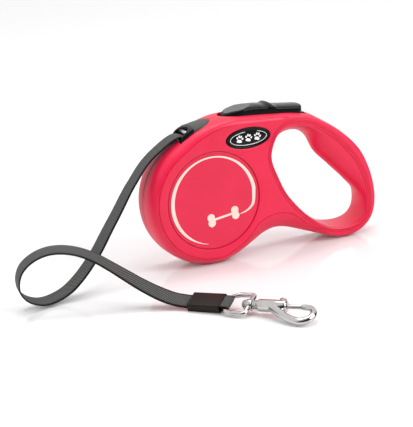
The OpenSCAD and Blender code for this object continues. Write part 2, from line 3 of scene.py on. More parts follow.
import bmesh
import bpy
import numpy as np
from mathutils import Matrix, Vector
from mathutils.bvhtree import BVHTree
from mathutils.geometry import delaunay_2d_cdt


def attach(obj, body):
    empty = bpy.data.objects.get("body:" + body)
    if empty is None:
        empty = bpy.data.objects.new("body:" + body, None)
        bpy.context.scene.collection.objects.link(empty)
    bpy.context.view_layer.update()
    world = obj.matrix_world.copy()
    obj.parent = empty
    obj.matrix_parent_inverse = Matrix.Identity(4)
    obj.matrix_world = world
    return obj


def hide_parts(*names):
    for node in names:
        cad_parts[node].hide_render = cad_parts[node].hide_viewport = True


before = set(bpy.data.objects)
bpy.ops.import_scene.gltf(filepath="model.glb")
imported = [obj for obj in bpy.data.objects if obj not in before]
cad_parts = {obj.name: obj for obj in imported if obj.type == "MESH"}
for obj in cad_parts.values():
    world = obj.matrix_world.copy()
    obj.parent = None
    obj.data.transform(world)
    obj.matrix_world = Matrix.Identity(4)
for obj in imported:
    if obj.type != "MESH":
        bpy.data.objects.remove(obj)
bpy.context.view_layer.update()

# Sizes and places are in millimetres, as in the CAD source. MM turns them into Blender's metres.
MM = 0.001

# ---- Sizes that the CAD source has too ----

DRUM_X = -36.6
DRUM_Z = 41.8
DRUM_R = 42
HALF_THICK = 13.8
WALL = 2.4
POCKET_DEPTH = 8
HOLE_FACE_WALL = 1.8
GRIP_POCKET_DEPTH = 4
HOLE_MID_WALL = 2.6
DRUM_CAVITY_R = 39.4
DRUM_CAVITY_DEPTH = 11.4
HUB_BOSS_R = 7
HUB_BOSS_DEPTH = 8.9
AXLE_SOCKET_R = 4.05
BOSS_R = 3.4
SCREW_PLACES = [(37.5, -23.2), (111.2, -16), (74.6, 36.2), (36.5, 29.3), (92.5, -38.3)]
SCREW_HEAD_R = 2.6
SCREW_HEAD_DEPTH = 6.4
SCREW_BORE_R = 1.25
LEVER_PIVOT = (62, 38.5)
LEVER_PIN_R = 1.55
DISC_RECESS_R = 31
DISC_RECESS_DEPTH = 1.4
DISC_CLEAR = 0.4
DISC_THICK = 0.8
BADGE_CENTRE = (25.5, 35.7)
BADGE_A = 14.9
BADGE_B = 6.4
BADGE_RECESS = 0.8
SLOT_FRONT = 12
SLOT_REAR = 69
SLOT_FLOOR = 41.3
SLOT_HALF_W = 8.4
LEVER_ROOM = [(8.9, 41.3), (69, 41.3), (69, 44), (22, 46.4), (8.9, 46.4)]
NOZZLE_HALF_W = 8.2
NOZZLE_REAR = 5.3
NOZZLE_ROUND = 9
NOZZLE_CLEAR = 0.1
NOZZLE_POCKET = [(6.5, 60), (6.5, 43.6), (-2, 41.6), (-12, 36.6), (-17.3, 35), (-17.3, 60)]
LEAD_START = (4.6, 34.9)
LEAD_END = (-13, 40.6)
CHANNEL_HALF = 1.2
CHANNEL_HALF_W = 6.5
TAPE_W = 12
TAPE_T = 0.9
BUTTON_FRONT = 14.4
BUTTON_REAR = 68.4
BUTTON_HALF_W = 8
BUTTON_BOW = 12
BUTTON_STERN = 5
BUTTON_CROWN = 1.1
BUTTON_TOP = [(14.4, 48.8), (15.8, 50.2), (20, 52), (26.3, 53.2), (31, 53.3), (38, 52.9), (42.5, 52.2),
              (45.3, 53.2), (47, 52.4), (49, 51), (55, 50.1), (66, 48.7), (68.4, 48.2)]
LEVER_SLOPE = 0.08
BUTTON_GAP = 0.3
RIB_X = (20, 50)
RIB_HALF_W = 2
RIB_HEIGHT = 1
LOCK_TRAVEL = 1.4
GRIP_X = (17, 33)
GRIP_DEPTH = 0.8
GRIP_HALF_W = 6
GRIP_ROUND = 0.9
NEAR_BORE_DEPTH = 5.8
FAR_BORE_DEPTH = 8
PIN_SOCKET_DEPTH = 7.3
HOOK_PLACE = (-83.2, -76.6, 3.8)
HOOK_TURN = -50
HOOK_RISE = 2.4
HOOK_LEAN = 71

# Route of the tape's centre line, the same points as in the CAD source. A scratch script moved
# them onto the tape in the photo and rounded them to a tenth.
TAPE_ROUTE = [
    (-49.6, 0, 82.4), (-52.6, 0, 83.1), (-56, 0, 82.3), (-60.5, 0, 80.1), (-66, 0, 76.7),
    (-72.2, -0.3, 72.5), (-77.7, -0.9, 67.7), (-83.6, -2.4, 61.6), (-89.7, -4, 55),
    (-98.7, -7, 44.1), (-106.3, -9.3, 35.2), (-115.4, -12.2, 24.3), (-123.4, -14.7, 16.6),
    (-130.4, -16.6, 10.9), (-138.3, -18.2, 5.9), (-147.1, -19.8, 3.2), (-155.5, -21.5, 2.9),
    (-163.1, -23, 5.6), (-168.5, -24.5, 10), (-171.2, -25.9, 15.6), (-171.5, -27.2, 21.6),
    (-169.6, -28.6, 27.5), (-165.4, -30.6, 32.4), (-159.7, -32.8, 35.9), (-153, -35.4, 37.8),
    (-145.4, -38.4, 37.7), (-137.3, -41.9, 35.6), (-129.4, -45.5, 31.6), (-122, -49.5, 26.3),
    (-114.3, -54, 20.2), (-106.5, -59, 14.1), (-99, -64, 9.1), (-92.3, -69.1, 5.7),
    (-87.1, -73.1, 4.3), (-83.2, -76.6, 3.8),
]
# Width direction of the tape at shares of its length; after the last one it is the sleeve's.
# The same script worked these out from the tape's width in the photo.
TAPE_TWIST = [
    (0, (0, 1, 0)), (0.12, (-0.01, 1, -0.02)), (0.21, (-0.12, 0.98, -0.13)),
    (0.35, (-0.22, 0.97, -0.08)), (0.44, (-0.2, 0.97, 0.09)), (0.5, (-0.1, 0.97, 0.21)),
    (0.56, (0.11, 0.96, 0.25)), (0.65, (0.25, 0.95, 0.17)), (0.76, (0.44, 0.89, 0.14)),
    (0.83, (0.57, 0.81, 0.13)), (0.91, (0.66, 0.7, 0.27)),
]

# Side outline as X and Z from the axle, then the width of the rounded band inside it and the
# angle at which that band meets the side face: 90 degrees is smooth, less leaves a crease.
# The points of the handle and the hand hole were read by eye, to a tenth of a millimetre, off a
# copy of the photo that a scratch script had squared up. Some were then changed by hand.
DRUM_ANGLES = range(120, 301, 10)
HANDLE_POINTS = [
    (29, -32.5, 8.6, 70), (36, -29.2, 11.2, 70), (44, -27.6, 11.4, 70), (52, -28.9, 9.8, 70),
    (63, -32.8, 6.4, 72), (73, -36.6, 3.9, 80), (83, -40.2, 3.6, 90), (91.5, -42, 4.2, 90),
    (100, -40.6, 4.8, 90), (107.5, -36.4, 5, 90), (113, -29.3, 4.8, 90), (115.2, -19.5, 4.6, 90),
    (114.5, -9, 4.5, 90), (111.8, 1.8, 4.5, 90), (107, 12.6, 4.5, 90), (100.3, 21.2, 4.4, 90),
    (90.7, 29.8, 4.1, 90), (80, 37.2, 3.6, 90), (70.5, 42.6, 3, 90), (58, 45.6, 3.4, 90),
    (44, 47.4, 4.6, 90), (30, 48.8, 5.4, 90), (17, 49.6, 4.2, 84), (6, 48.4, 3.7, 76),
    (-8, 44, 4.4, 73),
]
HOLE_FACE_POINTS = [
    (44.3, 7.7), (49.3, -3.7), (56.5, -13.8), (65.3, -23.2), (74.2, -29.8), (83, -33.7),
    (93.4, -34.6), (102, -32.5), (107, -26), (107.7, -14.6), (104.9, -1.8), (99.2, 9.7),
    (90.4, 20.5), (80.2, 29.3), (68.5, 36.6), (58.2, 39.2), (50.8, 38.3), (45, 33.4),
    (41.4, 24.9), (41, 17.7),
]
HOLE_MID_POINTS = [
    (45.6, 8), (50.3, -3), (57.3, -12.8), (65.8, -22), (74.3, -28.6), (82.5, -32.8),
    (92.5, -34), (101, -31.5), (105.5, -25.5), (104.3, -15.5), (96, -5), (85.5, 6.2),
    (76.5, 16), (71.8, 26), (66.5, 31), (60, 33), (53.5, 32.5), (47.5, 30.3),
    (43.5, 24.5), (42.5, 17.5),
]
# How far the side face drops from its full depth, at X from the axle.
FACE_DEPTH_X = [-60, 45, 70, 95, 120]
FACE_DEPTH_DROP = [0, 0, 1.2, 2.9, 3.3]


# ---- Curves ----

def unit(v):
    return v / np.linalg.norm(v)


def catmull(a, b, c, d, t):
    return 0.5 * (2 * b + (c - a) * t + (2 * a - 5 * b + 4 * c - d) * t * t
                  + (3 * b - a - 3 * c + d) * t ** 3)


def closed_curve(points, steps):
    p = np.array(points, float)
    n = len(p)
    return np.array([catmull(p[i - 1], p[i], p[(i + 1) % n], p[(i + 2) % n], s / steps)
                     for i in range(n) for s in range(steps)])


def open_curve(points, steps):
    p = np.array(points, float)
    last = len(p) - 1
    inner = [catmull(p[max(i - 1, 0)], p[i], p[i + 1], p[min(i + 2, last)], s / steps)
             for i in range(last) for s in range(steps)]
    return np.array(inner + [p[last]])


def inset(points, distance):
    """Moves each point of a counter-clockwise outline inward. The distance may differ by point."""
    along = np.roll(points, -1, axis=0) - np.roll(points, 1, axis=0)
    along /= np.linalg.norm(along, axis=1)[:, None]
    inward = np.column_stack([-along[:, 1], along[:, 0]])
    return points + inward * np.reshape(distance, (-1, 1))


def ellipse(centre, a, b, steps, first=0.0, last=360.0):
    """Points on an ellipse, or on an arc of it. A whole one doesn't repeat its first point."""
    whole = abs(last - first - 360) < 1e-6
    angles = np.radians(np.linspace(first, last, steps, endpoint=not whole))
    return np.column_stack([centre[0] + a * np.cos(angles), centre[1] + b * np.sin(angles)])


def circle(centre, r, steps):
    return ellipse(centre, r, r, steps)


def around(steps):
    """Equally spaced angles of one whole turn."""
    return np.linspace(0, 2 * math.pi, steps, endpoint=False)


def face_depth(x):
    return HALF_THICK - np.interp(x, FACE_DEPTH_X, FACE_DEPTH_DROP)


def at_axle(points, depth, side):
    """Side-view points at a depth from the middle plane, placed on one side of the object."""
    p = np.array(points, float)
    depth = np.broadcast_to(depth, len(p))
    return np.column_stack([p[:, 0] + DRUM_X, side * depth, p[:, 1] + DRUM_Z])


# ---- Meshes ----

class Shape:
    """The points and faces of one mesh, in millimetres."""

    def __init__(self):
        self.points = []
        self.faces = []

    def add(self, points):
        start = len(self.points)
        self.points += [tuple(map(float, p)) for p in points]
        return list(range(start, len(self.points)))

    def bridge(self, ring_a, ring_b):
        n = len(ring_a)
        self.faces += [(ring_a[i], ring_a[(i + 1) % n], ring_b[(i + 1) % n], ring_b[i])
                       for i in range(n)]

    def rings(self, list_of_points):
        """Joins rings of equally many points and returns the indices of each."""
        rings = [self.add(points) for points in list_of_points]
        for ring_a, ring_b in zip(rings, rings[1:]):
            self.bridge(ring_a, ring_b)
        return rings

    def cap(self, ring):
        self.faces.append(tuple(ring))

    def solid(self, list_of_points):
        """Joins rings of equally many points and closes both ends."""
        rings = self.rings(list_of_points)
        self.cap(rings[0])
        self.cap(rings[-1])

    def fill(self, rings, flat, spacing, lift):
        """Fills the flat region between an outer ring and the rings inside it.

        flat holds each ring's 2-D points, and lift turns new 2-D points into 3-D ones.
        """
        loops = [np.array(points, float) for points in flat]
        known = np.concatenate(loops)
        index = [i for ring in rings for i in ring]
        edges = []
        start = 0
        for loop in loops:
            n = len(loop)
            edges += [(start + i, start + (i + 1) % n) for i in range(n)]
            start += n
        low, high = loops[0].min(0), loops[0].max(0)
        grid = np.array([(x, z) for x in np.arange(low[0], high[0], spacing)
                         for z in np.arange(low[1], high[1], spacing)])
        grid = grid[inside(grid, loops)]
        apart = [np.min(np.sum((known - g) ** 2, axis=1)) > (0.6 * spacing) ** 2 for g in grid]
        grid = grid[apart]
        index += self.add(lift(grid))
        everything = [Vector(p) for p in np.concatenate([known, grid])]
        points, _, triangles, sources, _, _ = delaunay_2d_cdt(everything, edges, [], 0, 1e-6)
        middles = np.array([np.mean([points[i] for i in t], axis=0) for t in triangles])
        for triangle, keep in zip(triangles, inside(middles, loops)):
            if keep:
                self.faces.append(tuple(index[sources[i][0]] for i in triangle))


def inside(points, loops):
    """Whether each point lies inside an odd number of the loops."""
    odd = np.zeros(len(points), bool)
    for loop in loops:
        for a, b in zip(loop, np.roll(loop, -1, axis=0)):
            crosses = (a[1] > points[:, 1]) != (b[1] > points[:, 1])
            rise = b[1] - a[1] if b[1] != a[1] else 1.0
            at_x = a[0] + (points[:, 1] - a[1]) / rise * (b[0] - a[0])
            odd ^= crosses & (points[:, 0] < at_x)
    return odd


def make_object(name, shape, smooth_deg=30):
    mesh = bpy.data.meshes.new(name)
    mesh.from_pydata([Vector(p) * MM for p in shape.points], [], shape.faces)
    edit = bmesh.new()
    edit.from_mesh(mesh)
    bmesh.ops.remove_doubles(edit, verts=edit.verts, dist=1e-7)
    bmesh.ops.recalc_face_normals(edit, faces=edit.faces)
    edit.to_mesh(mesh)
    edit.free()
    soften(mesh, smooth_deg)
    piece = bpy.data.objects.new(name, mesh)
    bpy.context.scene.collection.objects.link(piece)
    return piece


def soften(mesh, smooth_deg):
    mesh.shade_smooth()
    mesh.set_sharp_from_angle(angle=math.radians(smooth_deg))


def solid(name, rings, smooth_deg=30):
    """A mesh through rings of equally many points, closed at both ends."""
    shape = Shape()
    shape.solid(rings)
    return make_object(name, shape, smooth_deg)


def boolean(piece, operation, smooth_deg, **operand):
    """Applies a boolean with another object, or with a collection, to a piece's mesh."""
    modifier = piece.modifiers.new("boolean", "BOOLEAN")
    modifier.operation = operation
    modifier.solver = "EXACT"
    for key, value in operand.items():
        setattr(modifier, key, value)
    bpy.context.view_layer.update()
    graph = bpy.context.evaluated_depsgraph_get()
    mesh = bpy.data.meshes.new_from_object(piece.evaluated_get(graph))
    piece.modifiers.clear()
    piece.data = mesh
    soften(mesh, smooth_deg)


def cut(piece, cutters, smooth_deg=30):
    """Cuts the cutters out of a piece and deletes them."""
    group = bpy.data.collections.new("cutters")
    for cutter in cutters:
        group.objects.link(cutter)
    boolean(piece, "DIFFERENCE", smooth_deg, operand_type="COLLECTION", collection=group)
    for cutter in cutters:
        bpy.data.objects.remove(cutter)
    bpy.data.collections.remove(group)
    return piece


def joined(piece, other):
    """Joins another solid to a piece and deletes it."""
    boolean(piece, "UNION", 40, object=other)
    bpy.data.objects.remove(other)


def common(piece, other):
    """Keeps the part of a piece that lies inside another, and deletes the other."""
    boolean(piece, "INTERSECT", 30, object=other)
    bpy.data.objects.remove(other)
    return piece


def finish_piece(piece, material, body, replaces=()):
    piece.data.materials.clear()
    piece.data.materials.append(material)
    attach(piece, body)
    if replaces:
        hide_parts(*replaces)


# ---- Materials ----

def new_material(name):
    material = bpy.data.materials.new(name)
    material.use_nodes = True
    return material, material.node_tree, material.node_tree.nodes["Principled BSDF"]


def add_node(tree, kind, **values):
    """Adds a node. A value goes to the socket of that name, with _ for a space, or to a property."""
    node = tree.nodes.new(kind)
    for key, value in values.items():
        socket = node.inputs.get(key.replace("_", " "))
        if socket is not None:
            socket.default_value = value
        else:
            setattr(node, key, value)
    return node


def noise(tree, scale, detail=4.0, stretch=(1, 1, 1)):
    place = add_node(tree, "ShaderNodeTexCoord")
    mapping = add_node(tree, "ShaderNodeMapping", Scale=stretch)
    texture = add_node(tree, "ShaderNodeTexNoise", Scale=scale, Detail=detail)
    tree.links.new(place.outputs["Object"], mapping.inputs["Vector"])
    tree.links.new(mapping.outputs["Vector"], texture.inputs["Vector"])
    return texture.outputs["Fac"]


def ramp(tree, value, low, high, colour_low, colour_high):
    node = add_node(tree, "ShaderNodeValToRGB")
    node.color_ramp.elements[0].position = low
    node.color_ramp.elements[0].color = (*colour_low, 1)
    node.color_ramp.elements[1].position = high
    node.color_ramp.elements[1].color = (*colour_high, 1)
    tree.links.new(value, node.inputs["Fac"])
    return node.outputs["Color"]


def vary(tree, value, low, high):
    node = add_node(tree, "ShaderNodeMapRange", To_Min=low, To_Max=high)
    tree.links.new(value, node.inputs["Value"])
    return node.outputs["Result"]


def add_bump(tree, shader, value, height_mm, strength=1.0):
    node = add_node(tree, "ShaderNodeBump", Strength=strength, Distance=height_mm * MM)
    tree.links.new(value, node.inputs["Height"])
    tree.links.new(node.outputs["Normal"], shader.inputs["Normal"])


# Scales of the noises in the materials, in repeats per metre.
CLOUD_SCALE = 45.0
WEAR_SCALE = 160.0
METAL_CLOUD_SCALE = 120.0
SCRATCH_SCALE = 1500.0
FUZZ_SCALE = 2500.0
FLOOR_SCALE = 30.0


def plastic(name, colour, colour_2, rough, grain_mm=0.25, grain_height=0.012, specular=0.5):
    """Moulded plastic: a fine spark-eroded grain, faint colour clouds and handling wear."""
    material, tree, shader = new_material(name)
    clouds = noise(tree, CLOUD_SCALE)
    tree.links.new(ramp(tree, clouds, 0.35, 0.65, colour, colour_2), shader.inputs["Base Color"])
    wear = noise(tree, WEAR_SCALE, 6.0)
    tree.links.new(vary(tree, wear, *rough), shader.inputs["Roughness"])
    grain = noise(tree, 1 / (grain_mm * MM), 2.0)
    add_bump(tree, shader, grain, grain_height)
    shader.inputs["Specular IOR Level"].default_value = specular
    return material


def metal(name, colour, colour_2, rough, brushed=(1, 1, 1), height=0.004):
    """Plated or drawn metal with faint scratches."""
    material, tree, shader = new_material(name)
    clouds = noise(tree, METAL_CLOUD_SCALE)
    tree.links.new(ramp(tree, clouds, 0.3, 0.7, colour, colour_2), shader.inputs["Base Color"])
    scratches = noise(tree, SCRATCH_SCALE, 3.0, brushed)
    tree.links.new(vary(tree, scratches, *rough), shader.inputs["Roughness"])
    add_bump(tree, shader, scratches, height, 0.5)
    shader.inputs["Metallic"].default_value = 1.0
    return material


def wave(tree, vector, pitch_mm, direction):
    """A sine stripe pattern across U or V, where UVs are in metres."""
    node = add_node(tree, "ShaderNodeTexWave", Scale=math.pi / 10 / (pitch_mm * MM))
    node.wave_type = "BANDS"
    node.bands_direction = direction
    node.wave_profile = "SIN"
    tree.links.new(vector, node.inputs["Vector"])
    return node.outputs["Fac"]


def combine(tree, operation, a, b):
    node = add_node(tree, "ShaderNodeMath")
    node.operation = operation
    for socket, value in zip(node.inputs, (a, b)):
        if isinstance(value, (int, float)):
            socket.default_value = value
        else:
            tree.links.new(value, socket)
    return node.outputs["Value"]


SELVEDGE = 1.3         # width of the plain dark edge of the tape
WEFT_SLANT = 24        # degrees
WEFT_PITCH = 1.15
WARP_PITCH = 0.8
WEFT_SHARE = 0.65      # what each pattern adds to the height of the weave
WARP_SHARE = 0.35
FUZZ_SHARE = 0.35


def woven(name, yarn_hollow_shade, yarn_crest_highlight, edge_colour, half_width_mm):
    """Woven tape: slanted weft ribs, warp yarns across them, and plain dark selvedges."""
    material, tree, shader = new_material(name)
    place = add_node(tree, "ShaderNodeTexCoord")
    slanted = add_node(tree, "ShaderNodeMapping", Rotation=(0, 0, math.radians(WEFT_SLANT)))
    tree.links.new(place.outputs["UV"], slanted.inputs["Vector"])
    ribs = wave(tree, slanted.outputs["Vector"], WEFT_PITCH, "X")
    warps = wave(tree, place.outputs["UV"], WARP_PITCH, "Y")
    fuzz = noise(tree, FUZZ_SCALE, 3.0)
    height = 0
    for pattern, share in ((ribs, WEFT_SHARE), (warps, WARP_SHARE), (fuzz, FUZZ_SHARE)):
        height = combine(tree, "ADD", height, combine(tree, "MULTIPLY", pattern, share))
    axes = add_node(tree, "ShaderNodeSeparateXYZ")
    tree.links.new(place.outputs["UV"], axes.inputs["Vector"])
    from_middle = combine(tree, "ABSOLUTE", axes.outputs["Y"], 0)
    edge = combine(tree, "GREATER_THAN", from_middle, (half_width_mm - SELVEDGE) * MM)
    mix = add_node(tree, "ShaderNodeMix", data_type="RGBA")
    tree.links.new(edge, mix.inputs["Factor"])
    # Painted shade and painted highlight: the yarn colour follows the weave's height, dark in its
    # hollows and lighter on the rib crests; the fuzz adds random yarn tone.
    tree.links.new(ramp(tree, height, 0.4, 0.95, yarn_hollow_shade, yarn_crest_highlight), mix.inputs[6])
    mix.inputs[7].default_value = (*edge_colour, 1)
    tree.links.new(mix.outputs[2], shader.inputs["Base Color"])
    tree.links.new(vary(tree, fuzz, 0.55, 0.8), shader.inputs["Roughness"])
    add_bump(tree, shader, height, 0.16, 0.8)
    shader.inputs["Sheen Weight"].default_value = 0.1
    shader.inputs["Sheen Roughness"].default_value = 0.4
    shader.inputs["Specular IOR Level"].default_value = 0.15
    return material


RED = plastic("housing_red", (0.68, 0.010, 0.055), (0.64, 0.008, 0.048), (0.36, 0.44),
              specular=0.42)
RED_FLAT = plastic("disc_red", (0.66, 0.014, 0.06), (0.62, 0.011, 0.052), (0.40, 0.5),
                   specular=0.42)
BLACK = plastic("gloss_black", (0.003, 0.003, 0.0035), (0.006, 0.006, 0.0065), (0.14, 0.22),
                grain_height=0.003, specular=0.14)
BADGE_BLACK = plastic("badge_black", (0.002, 0.002, 0.002), (0.004, 0.004, 0.004), (0.1, 0.16),
                      grain_height=0.002, specular=0.14)
COLLAR = plastic("collar_black", (0.002, 0.002, 0.0025), (0.005, 0.005, 0.0055), (0.16, 0.26),
                 grain_height=0.004, specular=0.2)
SLEEVE = plastic("sleeve_plastic", (0.010, 0.006, 0.005), (0.016, 0.010, 0.008), (0.3, 0.42),
                 specular=0.16)
WHITE_PLASTIC = plastic("reel_plastic", (0.62, 0.62, 0.6), (0.7, 0.7, 0.68), (0.45, 0.55))
CAP_GREY = plastic("cap_grey", (0.038, 0.038, 0.036), (0.05, 0.05, 0.047), (0.35, 0.45),
                   grain_mm=0.4, grain_height=0.01, specular=0.3)
GRIP = plastic("grip_grey", (0.11, 0.113, 0.11), (0.15, 0.153, 0.15), (0.5, 0.65), grain_mm=0.6,
               grain_height=0.06, specular=0.3)
WHITE_PRINT = plastic("white_print", (0.8, 0.8, 0.79), (0.85, 0.85, 0.84), (0.4, 0.5))
PRINT = plastic("cream_print", (0.75, 0.58, 0.5), (0.8, 0.64, 0.56), (0.45, 0.6))
CHROME = metal("chrome", (0.52, 0.505, 0.5), (0.58, 0.565, 0.56), (0.03, 0.07), height=0.002)
STEEL = metal("spring_steel", (0.45, 0.46, 0.48), (0.58, 0.59, 0.61), (0.25, 0.4), (1, 1, 12))
# The tape's two yarn colours are the painted shade of the weave's hollows and the painted highlight of
# its crests.
TAPE = woven("tape_fabric", (0.002, 0.002, 0.002), (0.12, 0.12, 0.117), (0.0005, 0.0005, 0.0005),
             TAPE_W / 2)


# ---- Camera ----

# Direction and lens follow from the ellipse that the disc's ring makes in the photo. The distance
# and the roll are choices.
CAMERA_PLACE = (-514.083, -1102.056, 388.358)
CAMERA_AZIMUTH = -23.4276
CAMERA_ELEVATION = 16.5997
CAMERA_ROLL = 4.0
CAMERA_LENS = 169.9
SENSOR_WIDTH = 36


def make_camera():
    azimuth, elevation, roll = map(
        math.radians, (CAMERA_AZIMUTH, CAMERA_ELEVATION, CAMERA_ROLL))
    back = Vector((math.sin(azimuth) * math.cos(elevation),
                   -math.cos(azimuth) * math.cos(elevation), math.sin(elevation)))
    level = Vector((math.cos(azimuth), math.sin(azimuth), 0))
    right = math.cos(roll) * level - math.sin(roll) * back.cross(level)
    data = bpy.data.cameras.new("camera")
    data.lens = CAMERA_LENS
    data.sensor_width = SENSOR_WIDTH
    camera = bpy.data.objects.new("camera", data)
    turn = Matrix((right, back.cross(right), back)).transposed().to_4x4()
    camera.matrix_world = Matrix.Translation(Vector(CAMERA_PLACE) * MM) @ turn
    bpy.context.scene.collection.objects.link(camera)
    bpy.context.scene.camera = camera


# ---- Tape ----

def hook_matrix():
    """Turns the hook's own axes into the object's, as the CAD source does."""
    turn = Matrix.Rotation(math.radians(HOOK_TURN), 3, "Z")
    rise = Matrix.Rotation(math.radians(-HOOK_RISE), 3, "Y")
    lean = Matrix.Rotation(math.radians(-HOOK_LEAN), 3, "X")
    return np.array(turn @ rise @ lean)


HOOK_AXES = hook_matrix()


def at_hook(points):
    return np.array(points, float) @ HOOK_AXES.T + HOOK_PLACE


def strap_frames(path, width_at):
    """Centres of a strap with its width and thickness directions."""
    last = len(path) - 1
    frames = []
    for i, centre in enumerate(path):
        along = unit(path[min(i + 1, last)] - path[max(i - 1, 0)])
        wide = width_at(i / last)
        across = unit(wide - wide.dot(along) * along)
        frames.append((centre, across, np.cross(along, across)))
    return frames


def tape_frames(steps):
    twist = TAPE_TWIST + [(1, HOOK_AXES[:, 2])]
    shares = [share for share, _ in twist]

    def width_at(share):
        return np.array([np.interp(share, shares, [width[axis] for _, width in twist])
                         for axis in range(3)])

    return strap_frames(open_curve(TAPE_ROUTE, steps), width_at)


# Half section of the tape as parts of the half width and half thickness: the selvedges are thin.
TAPE_SIDE = [(1, 0.3), (0.985, 0.62), (0.93, 0.8), (0.86, 0.84), (0.8, 0.96), (0.6, 1), (0.4, 1),
             (0.2, 1), (0, 1)]
TAPE_SECTION = [(-a, b) for a, b in TAPE_SIDE] + TAPE_SIDE[-2::-1]
RIB_PITCH = 1.3
RIB_SLANT = 0.42       # how far a rib runs along the tape for each millimetre across it
RIB_DEPTH = 0.1
RIB_END = 0.86         # the ribs end at this part of the half width


def path_distances(centres):
    """How far along a path each of its points is."""
    steps = np.linalg.norm(np.diff(centres, axis=0), axis=1)
    return np.concatenate([[0.0], np.cumsum(steps)])


def strap(name, frames, width, thickness):
    """A woven strap with slanted ribs, through a list of centres, width and thickness directions.

    Its UVs are in metres: U along the strap and V across it from the middle.
    """
    along = path_distances(np.array([centre for centre, _, _ in frames]))
    section = TAPE_SECTION + [(a, -b) for a, b in reversed(TAPE_SECTION)]
    rings = []
    for (centre, across, thick), distance in zip(frames, along):
        ring = []
        for a, b in section:
            rib = math.sin(2 * math.pi * (distance + RIB_SLANT * a * width / 2) / RIB_PITCH)
            ridge = RIB_DEPTH * rib * max(0.0, 1 - (abs(a) / RIB_END) ** 8)
            half = b * thickness / 2 + math.copysign(ridge, b)
            ring.append(centre + a * width / 2 * across + half * thick)
        rings.append(ring)
    piece = solid(name, rings, 60)
    uv = piece.data.uv_layers.new(name="UVMap")
    for loop in piece.data.loops:
        ring, spot = divmod(loop.vertex_index, len(section))
        uv.data[loop.index].uv = (along[ring] * MM, section[spot][0] * width / 2 * MM)
    return piece


def make_tape():
    piece = strap("tape_strap", tape_frames(26), TAPE_W, TAPE_T)
    finish_piece(piece, TAPE, "housing", ["tape"])
    path = [tuple(centre * MM) for centre, _, _ in tape_frames(8)]
    length = float(path_distances(np.array(path))[-1])
    on_it = ["tape_end_strap", "tape_sleeve", "frame_wire", "rivet_turned", "hook_casting",
             "bolt_turned", "knob_turned", "bolt_spring"]
    return piece, path, length, on_it


def make_lead():
    """The tape inside the nozzle, from the coil to the mouth."""
    start, end = [np.array([x + DRUM_X, 0, z + DRUM_Z]) for x, z in (LEAD_START, LEAD_END)]
    line = [start + share * (end - start) for share in np.linspace(0, 1, 60)]
    frames = strap_frames(line, lambda share: np.array([0, 1.0, 0]))
    piece = strap("tape_lead_strap", frames, TAPE_W, TAPE_T)
    finish_piece(piece, TAPE, "housing", ["tape_lead"])


FOLD_X = 24
FOLD_R = 1.05
END_W = 11.5
END_T = 0.8
END_STRAP_T = 0.6
END_OUT_X = 12


def make_tape_end():
    """The sewn end of the tape: it leaves the sleeve, goes round the frame's bar and back."""
    r = FOLD_R + END_T / 2
    flat = np.linspace(END_OUT_X, FOLD_X, 40)[:-1]
    middle = [(x, -r) for x in flat]
    middle += list(ellipse((FOLD_X, 0), r, r, 24, -90, 90))
    middle += [(x, r) for x in flat[::-1]]
    frames = strap_frames(at_hook([(x, y, 0) for x, y in middle]), lambda share: HOOK_AXES[:, 2])
    piece = strap("tape_end_strap", frames, END_W, END_STRAP_T)
    finish_piece(piece, TAPE, "housing", ["tape_end"])


# ---- Hook, in its own axes: X runs from the sleeve to the tip ----

HOOK_CURVE = [(52, -1.5), (57, -5), (62.5, -8.8), (68.2, -11.7), (73.6, -12.9), (77.8, -10.9),
              (79.4, -6.8), (78.2, -2.6), (75, -0.4), (70.6, 0)]
HOOK_RADII = [2.6, 2.5, 2.35, 2.3, 2.25, 2.2, 2.1, 1.9, 1.8, 1.7]
RAIL_Z = 8.6
RAIL_R = 1.5
BAR_R = 1.0
FRAME_END = 37.5
BARREL_R = 3.7
RIVET_HOLE_R = 1.65
BOLT_R = 1.3
KNOB_X = 57
BOLT_TRAVEL = 6
STEM_SLOT_HALF = 1.1


def swept(name, path, radii, sides, closed=False):
    """A round bar along a path in the hook's X-Z plane."""
    last = len(path) - 1
    rings = []
    for i, (x, z) in enumerate(path):
        before = path[i - 1] if closed or i else path[0]
        after = path[(i + 1) % len(path)] if closed else path[min(i + 1, last)]
        along = unit(np.subtract(after, before))
        rings.append(at_hook([(x - along[1] * radii[i] * math.sin(a), radii[i] * math.cos(a),
                               z + along[0] * radii[i] * math.sin(a)) for a in around(sides)]))
    if not closed:
        return solid(name, rings, 40)
    shape = Shape()
    index = shape.rings(rings)
    shape.bridge(index[-1], index[0])
    return make_object(name, shape, 40)


def lathe(name, rows, sides=48, axis="X", centre=(0, 0, 0)):
    """A solid turned about a line along the hook's X or Z axis, from rows of place and radius."""
    rings = []
    for place, radius in rows:
        ring = []
        for angle in around(sides):
            u, v = radius * math.cos(angle), radius * math.sin(angle)
            ring.append((place, u, v) if axis == "X" else (u, v, place))
        rings.append(at_hook(np.array(ring) + centre))
    return solid(name, rings, 40)


def rounded_rows(first, last, radius, edge):
    """Lathe rows of a cylinder with rounded ends."""
    arc = np.radians(np.linspace(0, 90, 5))
    start = [(first + edge * (1 - math.sin(a)), radius - edge * (1 - math.cos(a)))
             for a in arc[::-1]]
    end = [(last - edge * (1 - math.sin(a)), radius - edge * (1 - math.cos(a))) for a in arc]
    return start + end


